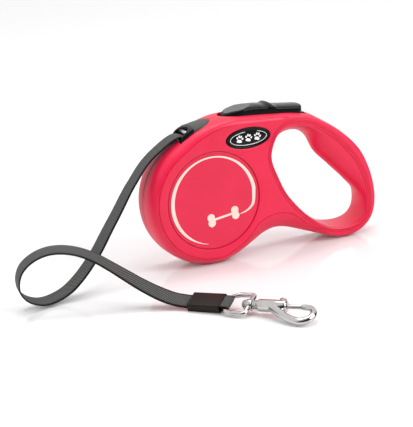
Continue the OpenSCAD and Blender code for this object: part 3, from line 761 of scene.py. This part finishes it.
def make_frame_wire():
    """The swivel frame: a bent wire, thinner where the tape goes round it, and a cross bar."""
    chamfer = 4.4
    corner = 1.2
    half = [(FOLD_X, 0, BAR_R), (FOLD_X, 4.5, BAR_R), (FOLD_X, RAIL_Z - 2.6, BAR_R),
            (FOLD_X + 0.5, RAIL_Z - 1.8, 1.25), (FOLD_X + chamfer - 0.8, RAIL_Z - 0.5, RAIL_R),
            (FOLD_X + chamfer + 0.6, RAIL_Z, RAIL_R), (FRAME_END - 4, RAIL_Z, RAIL_R),
            (FRAME_END - corner, RAIL_Z, RAIL_R), (FRAME_END, RAIL_Z - corner, RAIL_R),
            (FRAME_END, 4, RAIL_R + 0.2), (FRAME_END, 0, RAIL_R + 0.2)]
    loop = half + [(x, -z, r) for x, z, r in half[-2:0:-1]]
    rows = closed_curve(loop, 8)
    wire = swept("frame_wire", rows[:, :2], rows[:, 2], 24, True)
    boss = lathe("boss", rounded_rows(FRAME_END - 1.6, FRAME_END + 2, 3.4, 0.5))
    joined(wire, boss)
    cut(wire, [lathe("hole", [(FRAME_END - 5, RIVET_HOLE_R), (FRAME_END + 5, RIVET_HOLE_R)])], 40)
    finish_piece(wire, CHROME, "frame", ["swivel_frame"])


def make_rivet():
    """The rivet through the frame: a domed head, a narrow neck, a flange and a shank."""
    rows = [(-4.6, 0.8), (-4.5, 1.5), (-4.1, 2.2), (-3.5, 2.6), (-3.1, 2.7), (-2.95, 2.1),
            (-2.6, 2.1), (-2.5, 2.9), (-1.9, 2.9), (-1.9, 1.6), (6.9, 1.6)]
    piece = lathe("rivet_turned", [(FRAME_END + x, radius) for x, radius in rows])
    finish_piece(piece, CHROME, "hook", ["swivel_rivet"])


def make_hook_casting():
    """Barrel, neck with two grooves, and the hook that runs out of the barrel."""
    neck = [(2.3, 2.0), (2.5, 2.5), (3.2, 2.6), (3.3, 2.3), (3.7, 2.3), (3.8, 2.7), (4.6, 2.8),
            (4.7, 2.5), (5.1, 2.5), (5.4, 3.1), (5.9, 3.5), (6.7, BARREL_R)]
    rows = [(FRAME_END + x, radius) for x, radius in neck]
    rows += [(57, BARREL_R), (60, 3.6), (60.7, 3.3), (61, 2.8)]
    barrel = lathe("hook_casting", rows, 64)
    curve = open_curve(HOOK_CURVE, 8)
    radii = open_curve([(r, 0) for r in HOOK_RADII], 8)[:, 0]
    joined(barrel, swept("bend", curve, radii, 32))
    cut(barrel, [lathe("bore", [(47, BOLT_R + 0.05), (67, BOLT_R + 0.05)], 32),
                 lathe("socket", [(FRAME_END, RIVET_HOLE_R), (44.6, RIVET_HOLE_R)], 32),
                 stem_slot()], 40)
    finish_piece(barrel, CHROME, "hook", ["hook_body"])


def stem_slot():
    """The slot in the barrel that the knob's stem slides in."""
    first, last = KNOB_X - BOLT_TRAVEL - STEM_SLOT_HALF, KNOB_X + STEM_SLOT_HALF
    plan = [(first, -STEM_SLOT_HALF), (last, -STEM_SLOT_HALF), (last, STEM_SLOT_HALF),
            (first, STEM_SLOT_HALF)]
    return solid("slot", [at_hook([(x, y, z) for x, y in plan]) for z in (0, BARREL_R + 1)])


def make_bolt():
    bolt = lathe("bolt_turned", rounded_rows(55, 70.2, BOLT_R, 0.4), 32)
    finish_piece(bolt, CHROME, "bolt", ["hook_bolt"])
    rows = [(BOLT_R, 0.8), (3.75, 0.8), (3.9, 1.4), (4.0, 2.1), (4.2, 2.4), (5.0, 2.4),
            (5.3, 2.2), (5.4, 1.7), (5.2, 1.3)]
    knob = lathe("knob_turned", rows, 40, "Z", (KNOB_X, 0, 0))
    finish_piece(knob, CHROME, "bolt", ["bolt_knob"])


# ---- Floor, light and background ----

# The floor is pale under the object. Well in front of it, its colour is painted dark: painted shade
# for the dim room in front, which the shiny parts reflect.
FLOOR_SIZE = 8         # the stage is in metres
FLOOR_PALE = (0.78, 0.78, 0.785)
FLOOR_PAINTED_SHADE = (0.12, 0.12, 0.12)
FLOOR_SHADE_SIDE = (-0.25, -1, 0)
FLOOR_SHADE_FADE = (0.36, 0.8)


def fade(tree, vector, side, limits, low=0.0, high=1.0):
    """Goes smoothly from low to high toward one side, between two limits."""
    towards = add_node(tree, "ShaderNodeVectorMath")
    towards.operation = "DOT_PRODUCT"
    towards.inputs[1].default_value = side
    tree.links.new(vector, towards.inputs[0])
    step = add_node(tree, "ShaderNodeMapRange", From_Min=limits[0], From_Max=limits[1], To_Min=low,
                    To_Max=high)
    step.interpolation_type = "SMOOTHSTEP"
    tree.links.new(towards.outputs["Value"], step.inputs["Value"])
    return step.outputs["Result"]


def make_floor():
    bpy.ops.mesh.primitive_plane_add(size=FLOOR_SIZE, location=(0, 0, 0))
    floor = bpy.context.object
    floor.name = "floor"
    material, tree, shader = new_material("floor_gloss")
    place = add_node(tree, "ShaderNodeTexCoord")
    # Painted shade: the floor's colour turns dark toward the front.
    painted_shade = fade(tree, place.outputs["Object"], FLOOR_SHADE_SIDE, FLOOR_SHADE_FADE)
    colour = ramp(tree, painted_shade, 0.0, 1.0, FLOOR_PALE, FLOOR_PAINTED_SHADE)
    tree.links.new(colour, shader.inputs["Base Color"])
    tree.links.new(vary(tree, noise(tree, FLOOR_SCALE), 0.06, 0.1), shader.inputs["Roughness"])
    shader.inputs["Specular IOR Level"].default_value = 0.2
    floor.data.materials.append(material)


STAGE_CENTRE = (-0.05, -0.03, 0.04)


def make_light(name, place, size, power, in_mirrors=True):
    """An area light that faces the object, with its power in watts."""
    data = bpy.data.lights.new(name, "AREA")
    data.shape = "RECTANGLE"
    data.size = size[0]
    data.size_y = size[1]
    data.energy = power
    light = bpy.data.objects.new(name, data)
    light.location = place
    light.visible_glossy = in_mirrors
    towards = Vector(STAGE_CENTRE) - Vector(place)
    light.rotation_euler = towards.to_track_quat("-Z", "Y").to_euler()
    bpy.context.scene.collection.objects.link(light)


BRIGHT_SIDE = (-0.22, 0.8, 0.6)
DIM_SKY = 0.04
BRIGHT_SKY = 1.0
SKY_FADE = (-0.05, 0.4)


def make_world():
    """A studio that is bright above and behind the object and dim in front of it."""
    world = bpy.data.worlds.new("studio")
    world.use_nodes = True
    tree = world.node_tree
    background = tree.nodes["Background"]
    place = add_node(tree, "ShaderNodeTexCoord")
    side = unit(np.array(BRIGHT_SIDE, float))
    glow = fade(tree, place.outputs["Generated"], side, SKY_FADE, DIM_SKY, BRIGHT_SKY)
    tree.links.new(glow, background.inputs["Strength"])
    background.inputs["Color"].default_value = (1, 1, 1, 1)
    bpy.context.scene.world = world
    bpy.context.scene.view_settings.view_transform = "Standard"


def make_stage():
    make_floor()
    make_world()
    make_light("key", place=(1.15, -1.3, 1.05), size=(1.5, 1.3), power=38)
    make_light("fill", place=(-1.4, -0.9, 0.6), size=(0.5, 0.9), power=17, in_mirrors=False)
    make_light("top", place=(0.1, 0.35, 1.7), size=(1.2, 0.5), power=10)


# ---- Housing ----

# Lip and grooves round the hand hole: distance outward from its edge, and height over the face.
HOLE_LIP = [(0.0, -0.7), (0.1, -0.25), (0.35, 0.0), (0.7, 0.1), (1.0, 0.03), (1.12, -0.35),
            (1.42, -0.35), (1.54, 0.04), (1.85, 0.1), (2.15, 0.03), (2.27, -0.28),
            (2.57, -0.28), (2.7, 0.0)]
LIP_GAP = 1.15       # least strip between the lip and the rounded rim
CREASE_GROOVE = 0.42
RIM_START = 0.3      # the rim's first ring lies this far in from the outline and the middle plane
RIM_POWER = 0.75     # below 1, the rounded band is fuller than a circle
DRUM_BAND = 4.7
DRUM_LAST_BAND = 6
DRUM_LAST_FROM = 290  # the angle from which the drum runs into the handle
DRUM_CREASE = 72


def outline_rows(steps):
    """The side outline, smoothed, with the width and the angle of its rounded band."""
    drum = [(DRUM_R * math.cos(math.radians(a)), DRUM_R * math.sin(math.radians(a)),
             DRUM_BAND if a < DRUM_LAST_FROM else DRUM_LAST_BAND, DRUM_CREASE)
            for a in DRUM_ANGLES]
    return closed_curve(drum + HANDLE_POINTS, steps)


def rim_rings():
    """Rings from the middle plane, round the rim, to the edge of the side face."""
    rows = outline_rows(5)
    outline, crease = rows[:, :2], np.radians(np.minimum(rows[:, 3], 90))
    lip = inset(closed_curve(HOLE_FACE_POINTS, 7), -HOLE_LIP[-1][0])
    room = [np.min(np.linalg.norm(lip - p, axis=1)) - LIP_GAP for p in outline]
    band = np.minimum(rows[:, 2], room)
    face_edge = inset(outline, band)
    top = face_depth(face_edge[:, 0])
    rings = [(inset(outline, RIM_START), np.zeros(len(outline)))]
    for share in np.linspace(0, 1, 15) ** 0.8:
        angle = crease * share
        inward = (1 - np.cos(angle) ** RIM_POWER) / (1 - np.cos(crease) ** RIM_POWER)
        depth = (np.sin(angle) / np.sin(crease)) ** RIM_POWER
        rings.append((inset(outline, band * inward), RIM_START + (top - RIM_START) * depth))
    groove = CREASE_GROOVE * np.clip((90 - rows[:, 3]) / 16, 0, 1)
    rings += [(inset(outline, band + 0.15), top - groove),
              (inset(outline, band + 0.5), top - groove),
              (inset(outline, band + 0.65), top)]
    return rings


def hole_rings():
    face = closed_curve(HOLE_FACE_POINTS, 7)
    middle = closed_curve(HOLE_MID_POINTS, 7)
    rings = []
    for u in np.linspace(0, 0.93, 12):
        share = 1 - (1 - u * u) ** 0.8
        ring = middle + share * (face - middle)
        rings.append((ring, u * face_depth(ring[:, 0])))
    for out, rise in HOLE_LIP:
        ring = inset(face, -out)
        rings.append((ring, face_depth(ring[:, 0]) + rise))
    return rings


# Rows of a recess's wall: how far outside its outline, and depth under the side face.
DISC_WALL = [(0.35, 0), (0.1, 0.1), (0, 0.3), (0, DISC_RECESS_DEPTH)]
BADGE_WALL = [(0.55, 0), (0.35, 0.1), (0.25, 0.3), (0.25, BADGE_RECESS + 0.05)]
FACE_SPACING = 4.0
MIDDLE_SPACING = 6.0


def housing_half(name, side):
    """Outside of one half as a closed solid, with the disc's and the badge's recesses."""
    shape = Shape()

    def place(points, depth):
        return at_axle(points, depth, side)

    def recess(centre, a, b, steps, wall):
        rows = [(ellipse(centre, a + grow, b + grow, steps), HALF_THICK - down)
                for grow, down in wall]
        index = shape.rings([place(*row) for row in rows])
        shape.cap(index[-1])
        return index[0], rows[0][0]

    rim = rim_rings()
    hole = hole_rings()
    rim_index = shape.rings([place(*ring) for ring in rim])
    hole_index = shape.rings([place(*ring) for ring in hole])
    disc_index, disc = recess((0, 0), DISC_RECESS_R, DISC_RECESS_R, 120, DISC_WALL)
    badge_index, badge = recess(BADGE_CENTRE, BADGE_A, BADGE_B, 64, BADGE_WALL)
    shape.fill([rim_index[-1], hole_index[-1], disc_index, badge_index],
               [rim[-1][0], hole[-1][0], disc, badge], FACE_SPACING,
               lambda grid: place(grid, face_depth(grid[:, 0])))
    shape.fill([rim_index[0], hole_index[0]], [rim[0][0], hole[0][0]], MIDDLE_SPACING,
               lambda grid: place(grid, 0))
    return make_object(name, shape)


PAST_MIDDLE = -1       # where a cutter starts, just beyond the middle plane
KEPT_START = -3        # where what a pocket leaves standing starts
BEYOND_FACE = 20       # a depth outside the side face
PLAN_LOW = 0           # heights over the axle between which a plan outline cuts or keeps
PLAN_HIGH = 70


def prism(points, low, high, side=1):
    """A straight solid through the depth, from one side-view outline."""
    return solid("prism", [at_axle(points, low, side), at_axle(points, high, side)])


def plan_prism(points, low=PLAN_LOW):
    """An upright solid from a plan outline of X and Y."""
    return solid("plan_prism", [[(x + DRUM_X, y, z + DRUM_Z) for x, y in points]
                                for z in (low, PLAN_HIGH)])


def turned(profile, side):
    """A solid turned about the axle from rows of radius and depth."""
    return solid("turned", [at_axle(circle((0, 0), r, 96), depth, side) for r, depth in profile])


def pocket(side, depth, hole_points, hole_wall):
    """The hollow along the top and in the handle, which leaves the screw bosses standing."""
    hollow = prism(inset(outline_rows(3)[:, :2], WALL), PAST_MIDDLE, depth, side)
    kept = [inset(closed_curve(hole_points, 3), -hole_wall)]
    kept += [circle(place, BOSS_R, 32) for place in SCREW_PLACES]
    return cut(hollow, [prism(outline, KEPT_START, BEYOND_FACE, side) for outline in kept])


def button_plan(front, rear, half_w):
    """Plan view of the button: rounded at the front and at the rear."""
    return np.concatenate([ellipse((rear - BUTTON_STERN, 0), BUTTON_STERN, half_w, 17, -90, 90),
                           ellipse((front + BUTTON_BOW, 0), BUTTON_BOW, half_w, 25, 90, 270)])


def nozzle_plan(front, grow):
    """Plan view of the nozzle: straight sides and a rounded rear end."""
    half_w = NOZZLE_HALF_W + grow
    curve = ellipse((NOZZLE_REAR - NOZZLE_ROUND, 0), NOZZLE_ROUND + grow, half_w, 25, -90, 90)
    return np.concatenate([[(front, half_w), (front, -half_w)], curve])


def along_lead(first, last, half):
    """A band along the tape's straight way from the coil to the nozzle, in side view."""
    start = np.array(LEAD_START, float)
    along = unit(np.array(LEAD_END, float) - start)
    up = half * np.array([-along[1], along[0]])
    return [start + first * along + up, start + last * along + up,
            start + last * along - up, start + first * along - up]


def lead_channel(first, last):
    """Cuts the tape's way between two distances from its start."""
    return prism(along_lead(first, last, CHANNEL_HALF), -CHANNEL_HALF_W, CHANNEL_HALF_W)


def nozzle_pocket():
    """The pocket for the nozzle: its side outline, narrowed to a round rear end in plan."""
    half_w = NOZZLE_HALF_W + NOZZLE_CLEAR
    return common(prism(NOZZLE_POCKET, -half_w, half_w), plan_prism(nozzle_plan(-40, NOZZLE_CLEAR)))


# A fine seam on each side under the button, in side view, from the front to its turn upward.
SEAM_POINTS = [(29, 46.5), (36.5, 46.1), (42, 45.6), (48, 44.8), (55, 43.5), (62, 41.8),
               (67.5, 40.3), (70, 40.1), (71.2, 41), (71.6, 42.2), (71.7, 43.6)]
SEAM_R = 0.4
SEAM_RISE = 0.1        # the seam's tube has its centre this far outside the shell


def seam_cutter(shell, side):
    """A thin tube that follows the shell's outside along the seam."""
    tree = BVHTree.FromObject(shell, bpy.context.evaluated_depsgraph_get())
    centres = []
    normals = []
    for x, z in open_curve(SEAM_POINTS, 6):
        start = Vector(at_axle([(x, z)], 30, side)[0]) * MM
        hit, normal, _, _ = tree.ray_cast(start, Vector((0, -side, 0)))
        if hit is None:
            break
        normals.append(np.array(normal))
        centres.append(np.array(hit / MM) + SEAM_RISE * normals[-1])
    tubes = []
    for centre, normal, along in zip(centres, normals, np.gradient(np.array(centres), axis=0)):
        along = unit(along)
        out = unit(normal - normal.dot(along) * along)
        sideways = np.cross(along, out)
        tubes.append([centre + SEAM_R * (math.cos(a) * out + math.sin(a) * sideways)
                      for a in around(10)])
    return solid("seam", tubes)


def make_shell(side, cad_node):
    shell = housing_half(f"{cad_node}_moulding", side)
    bpy.context.view_layer.update()
    cutters = [
        turned([(DRUM_CAVITY_R, PAST_MIDDLE), (DRUM_CAVITY_R, DRUM_CAVITY_DEPTH),
                (HUB_BOSS_R, DRUM_CAVITY_DEPTH), (HUB_BOSS_R, HUB_BOSS_DEPTH),
                (AXLE_SOCKET_R, HUB_BOSS_DEPTH), (AXLE_SOCKET_R, DRUM_CAVITY_DEPTH)], side),
        pocket(side, POCKET_DEPTH, HOLE_FACE_POINTS, HOLE_FACE_WALL),
        pocket(side, GRIP_POCKET_DEPTH, HOLE_MID_POINTS, HOLE_MID_WALL),
        plan_prism(button_plan(SLOT_FRONT, SLOT_REAR, SLOT_HALF_W), SLOT_FLOOR),
        prism(LEVER_ROOM, -SLOT_HALF_W, SLOT_HALF_W),
        nozzle_pocket(),
        lead_channel(6, 17),
        prism(circle(LEVER_PIVOT, LEVER_PIN_R, 24), PAST_MIDDLE, PIN_SOCKET_DEPTH, side),
    ]
    for place in SCREW_PLACES:
        bore_depth = NEAR_BORE_DEPTH if side < 0 else FAR_BORE_DEPTH
        cutters.append(prism(circle(place, SCREW_BORE_R, 24), PAST_MIDDLE, bore_depth, side))
        if side > 0:
            head = circle(place, SCREW_HEAD_R, 32)
            cutters.append(prism(head, SCREW_HEAD_DEPTH, BEYOND_FACE, side))
    cut(shell, cutters + [seam_cutter(shell, side)])
    finish_piece(shell, RED, "housing", [cad_node])


# ---- Discs and badges ----

RING_R = 27.6                                        # printed ring, which looks like a strap
RING_FIRST = 258
RING_LAST = 8
RING_TAIL = [(26.6, -4.9), (24.5, -8.4), (21, -10.5), (17.1, -11.5)]
RING_LINE = 0.82       # half width of the ring, which swells at the sides by the next value
RING_SWELL = 0.36
RING_TIP = 0.2
PRINT_RISE = 0.06
PRINT_SINK = 0.02
BONE_CENTRE = (5.6, -11.3)
BONE_TURN = 8
BONE_LOBE = 2.5        # radius of a lobe, and its place from the bone's middle
BONE_REACH = 8.2
BONE_LIFT = 1.75
PAW_TOES = [(-2.1, 0.7, 0.62, 0.85, 24), (-0.8, 2.0, 0.62, 0.95, 8), (0.8, 2.0, 0.62, 0.95, -8),
            (2.1, 0.7, 0.62, 0.85, -24)]


def slab(name, outlines, low, high, side):
    """Flat prints with one thickness, from side-view outlines."""
    shape = Shape()
    for points in outlines:
        shape.solid([at_axle(points, low, side), at_axle(points, high, side)])
    return make_object(name, shape)


def turned_points(points, degrees, centre):
    a = math.radians(degrees)
    turn = np.array([[math.cos(a), math.sin(a)], [-math.sin(a), math.cos(a)]])
    return np.array(points, float) @ turn + centre


def ring_outline():
    """Outline of the printed ring: wide at the sides, thin at the top, pointed at both ends."""
    angles = np.radians(np.linspace(RING_FIRST, RING_LAST, 90))
    ring = RING_R * np.column_stack([np.cos(angles), np.sin(angles)])
    ring_half = RING_LINE + RING_SWELL * np.cos(2 * angles)
    tail = open_curve([ring[-1]] + RING_TAIL, 8)[1:]
    path = np.concatenate([ring, tail])
    half = np.concatenate([ring_half, np.linspace(ring_half[-1], RING_TIP, len(tail))])
    half *= np.minimum(1, np.linspace(RING_TIP, 9, len(half)))
    along = np.gradient(path, axis=0)
    along /= np.linalg.norm(along, axis=1)[:, None]
    sideways = np.column_stack([-along[:, 1], along[:, 0]]) * half[:, None]
    return np.concatenate([path + sideways, (path - sideways)[::-1]])


def bone_outline():
    """A plain bone: a bar with two round lobes at each end."""
    lobe = ellipse((BONE_REACH, BONE_LIFT), BONE_LOBE, BONE_LOBE, 20, -42, 205)
    right = [(x, -z) for x, z in lobe[::-1]] + list(lobe)
    return turned_points(right + [(-x, -z) for x, z in right], BONE_TURN, BONE_CENTRE)


def paw_outlines(centre, size, turn):
    """A plain paw print: a pad and four toes."""
    pad = [(1.9 * math.cos(a) * (1 + 0.12 * math.cos(3 * a + math.pi / 2)),
            -1.3 + 1.35 * math.sin(a) * (1 + 0.2 * math.cos(2 * a)))
           for a in around(40)]
    outlines = [turned_points(size * np.array(pad), turn, centre)]
    for x, z, a, b, lean in PAW_TOES:
        toe = turned_points(ellipse((0, 0), a, b, 20), lean, (x, z))
        outlines.append(turned_points(size * toe, turn, centre))
    return outlines


def make_disc(side, name):
    """A flat disc with a fine groove inside its edge, and the prints on it."""
    floor = HALF_THICK - DISC_RECESS_DEPTH
    top = floor + DISC_THICK
    r = DISC_RECESS_R - DISC_CLEAR
    rows = [(r, floor), (r, top - 0.3), (r - 0.08, top - 0.12), (r - 0.25, top - 0.03),
            (r - 0.5, top), (r - 1.3, top), (r - 1.42, top - 0.1), (r - 1.6, top - 0.1),
            (r - 1.72, top)]
    plate = turned(rows, side)
    plate.name = f"{name}_plate"
    finish_piece(plate, RED_FLAT, "housing", [name])
    prints = slab(f"{name}_print", [ring_outline(), bone_outline()], top - PRINT_SINK,
                  top + PRINT_RISE, side)
    finish_piece(prints, PRINT, "housing")


# Rows of the badge's dome: distance in from its outline, and height over its floor.
BADGE_RISE = [(0, 0), (0, 0.8), (0.12, 1.02), (0.35, 1.12), (0.7, 1.1), (0.95, 0.98), (1.2, 0.94),
              (2.2, 1.02), (3.6, 1.1), (5.0, 1.14)]
BADGE_LINE_A = 12.3    # the printed oval line, open at its top left
BADGE_LINE_B = 4.2
BADGE_LINE_HALF = 0.15
BADGE_LINE_ANGLES = (100, 420)
BADGE_PRINT = (0.9, 1.18)
PAW_PLACES = (-6, 0, 6)
PAW_SIZE = 0.85
PAW_TURN = -14


def make_badge(side, name):
    """An oval dome with a raised edge, a printed line and three paw prints."""
    floor = HALF_THICK - BADGE_RECESS - 0.05
    dome = solid(f"{name}_dome",
                 [at_axle(ellipse(BADGE_CENTRE, BADGE_A - inward, BADGE_B - inward, 96),
                          floor + height, side) for inward, height in BADGE_RISE])
    finish_piece(dome, BADGE_BLACK, "housing", [name])
    outer, inner = [ellipse(BADGE_CENTRE, BADGE_LINE_A + grow, BADGE_LINE_B + grow, 80,
                            *BADGE_LINE_ANGLES) for grow in (BADGE_LINE_HALF, -BADGE_LINE_HALF)]
    outlines = [np.concatenate([outer, inner[::-1]])]
    for x in PAW_PLACES:
        outlines += paw_outlines((BADGE_CENTRE[0] + x, BADGE_CENTRE[1]), PAW_SIZE, PAW_TURN)
    low, high = BADGE_PRINT
    prints = slab(f"{name}_print", outlines, floor + low, floor + high, side)
    finish_piece(prints, WHITE_PRINT, "housing")


# ---- Button ----

def lever_top(x):
    return 46 - LEVER_SLOPE * (x - 15)


def height_at(rows, x):
    """The height at X on a line through rows of X and height."""
    xs, zs = zip(*rows)
    return np.interp(x, xs, zs)


def crowned(rows, half_w, crown):
    """A function for the height of a top that falls by the crown toward its two long edges."""
    return lambda p: height_at(rows, p[:, 0]) - crown * (np.abs(p[:, 1]) / half_w) ** 2.5


button_top = crowned(BUTTON_TOP, BUTTON_HALF_W, BUTTON_CROWN)


def moulded(name, outline, top, bottom, radius, spacing):
    """A solid over a plan outline with a rounded upper edge. top and bottom give its heights."""
    def place(points, height):
        return np.column_stack([points[:, 0] + DRUM_X, points[:, 1], height + DRUM_Z])

    shape = Shape()
    flat = [outline]
    rings = [place(outline, bottom(outline))]
    for angle in np.radians(np.linspace(0, 90, 6)):
        ring = inset(outline, radius * (1 - math.cos(angle)))
        flat.append(ring)
        rings.append(place(ring, top(ring) - radius * (1 - math.sin(angle))))
    index = shape.rings(rings)
    shape.fill([index[0]], [flat[0]], spacing, lambda grid: place(grid, bottom(grid)))
    shape.fill([index[-1]], [flat[-1]], spacing, lambda grid: place(grid, top(grid)))
    return make_object(name, shape, 35)


def finer(points, longest):
    """Splits the sides of a closed outline until none is longer than a limit."""
    result = []
    for a, b in zip(points, np.roll(points, -1, axis=0)):
        steps = max(1, math.ceil(np.linalg.norm(b - a) / longest))
        result += [a + (b - a) * i / steps for i in range(steps)]
    return np.array(result)


GROOVE_END_GAP = 0.6


def make_button():
    """The button with the groove under it that takes the lever's rib, and its grip patch."""
    outline = finer(button_plan(BUTTON_FRONT, BUTTON_REAR, BUTTON_HALF_W), 1.0)
    button = moulded("button_moulding", outline, button_top,
                     lambda p: lever_top(p[:, 0]) + BUTTON_GAP, 0.9, 1.1)
    front, rear = RIB_X[0] - GROOVE_END_GAP, RIB_X[1] + LOCK_TRAVEL + GROOVE_END_GAP
    rise = RIB_HEIGHT + BUTTON_GAP
    groove = [(front, 30), (rear, 30), (rear, lever_top(RIB_X[1]) + rise),
              (front, lever_top(RIB_X[0]) + rise)]
    half_w = RIB_HALF_W + BUTTON_GAP
    cut(button, [prism(groove, -half_w, half_w), grip_piece("grip_pocket", 0.05, 3)], 35)
    finish_piece(button, BLACK, "button", ["brake_button"])
    grip = grip_piece("grip_patch", 0, 0.12)
    finish_piece(grip, GRIP, "button", ["button_grip"])


def grip_piece(name, grow, rise):
    """The grip patch, or the block that cuts its pocket: it follows the button's top."""
    return moulded(name, finer(grip_plan(grow), 0.8), lambda p: button_top(p) + rise,
                   lambda p: button_top(p) - GRIP_DEPTH - grow, 0.3, 0.8)


def grip_plan(grow):
    """Plan of the patch: round at the front, with two corners at the rear."""
    front, rear = GRIP_X[0] - GRIP_ROUND - grow, GRIP_X[1] + grow
    half_w = GRIP_HALF_W + GRIP_ROUND + grow
    bow = ellipse((front + BUTTON_BOW, 0), BUTTON_BOW, half_w, 25, 98, 262)
    return np.concatenate([[(rear, -0.55 * half_w)], [(rear, 0.55 * half_w)], bow])


# ---- Nozzle ----

CAP_TOP = [(-8, 46.2), (-4, 46.9), (0, 47.6), (5.3, 48.5)]
CAP_BOTTOM = [(-8, 43.15), (5.3, 44.95)]
CAP_CROWN = 0.9
CAP_SEAM = -8

# The black collar round the mouth. Its top falls in a curve to the lip under the tape.
COLLAR_TOP = [(-17, 39.3), (-16.5, 40.6), (-15.4, 42.1), (-13.6, 43.6), (-11.2, 44.9), (-8, 46.2)]
COLLAR_BOTTOM = [(-17, 35.9), (-12.1, 36.9), (-8, 38.93)]
COLLAR_TONGUE = [(-8, 38.93), (-2, 41.9), (5.3, 43.9), (5.3, 44.9), (-8, 43.1)]
COLLAR_CORNER = 3.2
COLLAR_CROWN = 0.5
MOUTH = [(-8.6, 39.2), (-8.6, 60), (-30, 60), (-30, 39.8), (-12.6, 39.8)]
MOUTH_REAR = -9.2
MOUTH_ROUND = 6
GUIDE_PINS = [(-13.6, 38.6), (-11.2, 42.6)]
GUIDE_PIN_HOLE = 1.25
GUIDE_PIN_REACH = 7.8


def mouth_cutter():
    """The open mouth, round at its rear in plan."""
    block = prism(MOUTH, -CHANNEL_HALF_W, CHANNEL_HALF_W)
    curve = ellipse((MOUTH_REAR - MOUTH_ROUND, 0), MOUTH_ROUND, CHANNEL_HALF_W, 24, -90, 90)
    sides = [(-40, CHANNEL_HALF_W), (-40, -CHANNEL_HALF_W)]
    return common(block, plan_prism(np.concatenate([sides, curve])))


def make_collar():
    """The mouth's collar, and its tongue under the cap."""
    front, side = COLLAR_TOP[0][0] + COLLAR_CORNER, NOZZLE_HALF_W - COLLAR_CORNER
    plan = np.concatenate([[(CAP_SEAM, NOZZLE_HALF_W)],
                           ellipse((front, side), COLLAR_CORNER, COLLAR_CORNER, 9, 90, 180),
                           ellipse((front, -side), COLLAR_CORNER, COLLAR_CORNER, 9, 180, 270),
                           [(CAP_SEAM, -NOZZLE_HALF_W)]])
    collar = moulded("collar_moulding", finer(plan, 1.2),
                     crowned(COLLAR_TOP, NOZZLE_HALF_W, COLLAR_CROWN),
                     lambda p: height_at(COLLAR_BOTTOM, p[:, 0]), 0.9, 0.7)
    holes = [prism(circle(pin, GUIDE_PIN_HOLE, 24), -GUIDE_PIN_REACH, GUIDE_PIN_REACH)
             for pin in GUIDE_PINS]
    cut(collar, [mouth_cutter(), lead_channel(8, 19), *holes], 40)
    finish_piece(collar, COLLAR, "housing", ["nozzle_collar"])
    tongue = common(prism(COLLAR_TONGUE, -NOZZLE_HALF_W, NOZZLE_HALF_W),
                    plan_prism(nozzle_plan(CAP_SEAM, 0)))
    tongue.name = "collar_tongue"
    cut(tongue, [lead_channel(6, 19)])
    finish_piece(tongue, COLLAR, "housing")


def make_nozzle_cap():
    """The satin cap behind the mouth, with a crowned top."""
    cap = moulded("nozzle_cap_moulding", finer(nozzle_plan(CAP_SEAM, 0), 0.9),
                  crowned(CAP_TOP, NOZZLE_HALF_W, CAP_CROWN),
                  lambda p: height_at(CAP_BOTTOM, p[:, 0]), 0.8, 1.0)
    finish_piece(cap, CAP_GREY, "housing", ["nozzle_cap"])


# ---- Pieces that keep their CAD shape ----

def dress(node, material, bevel_mm):
    """Gives a CAD node its material, and rounds its edges with modifiers."""
    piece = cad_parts[node]
    piece.data.materials.clear()
    piece.data.materials.append(material)
    weld = piece.modifiers.new("weld", "WELD")
    weld.merge_threshold = 1e-6
    if bevel_mm:
        flatten = piece.modifiers.new("flatten", "DECIMATE")
        flatten.decimate_type = "DISSOLVE"
        flatten.angle_limit = math.radians(1)
        bevel = piece.modifiers.new("bevel", "BEVEL")
        bevel.width = bevel_mm * MM
        bevel.segments = 3
        bevel.limit_method = "ANGLE"
        bevel.angle_limit = math.radians(25)
        bevel.harden_normals = True
    piece.data.shade_smooth()


# Material, width of the rounded edges, and the CAD nodes that have them.
NODE_LOOKS = [
    (STEEL, 0, ["guide_pins", "axle", "axle_washers", "housing_screws", "cover_screws",
                "main_spring", "lever_pin", "brake_spring", "bolt_spring"]),
    (WHITE_PLASTIC, 0, ["reel", "reel_cover"]),
    (TAPE, 0, ["tape_coil"]),
    (BLACK, 0, ["brake_lever"]),
    (SLEEVE, 0.5, ["tape_sleeve"]),
]


make_camera()
make_stage()
make_lead()
make_tape_end()
make_frame_wire()
make_rivet()
make_hook_casting()
make_bolt()
tape, tape_path, tape_length, tape_pieces = make_tape()
for make_part, part_name in ((make_shell, "shell"), (make_disc, "disc"), (make_badge, "badge")):
    make_part(-1, f"near_{part_name}")
    make_part(1, f"far_{part_name}")
make_button()
make_collar()
make_nozzle_cap()
for node_material, node_bevel, node_names in NODE_LOOKS:
    for node_name in node_names:
        dress(node_name, node_material, node_bevel)
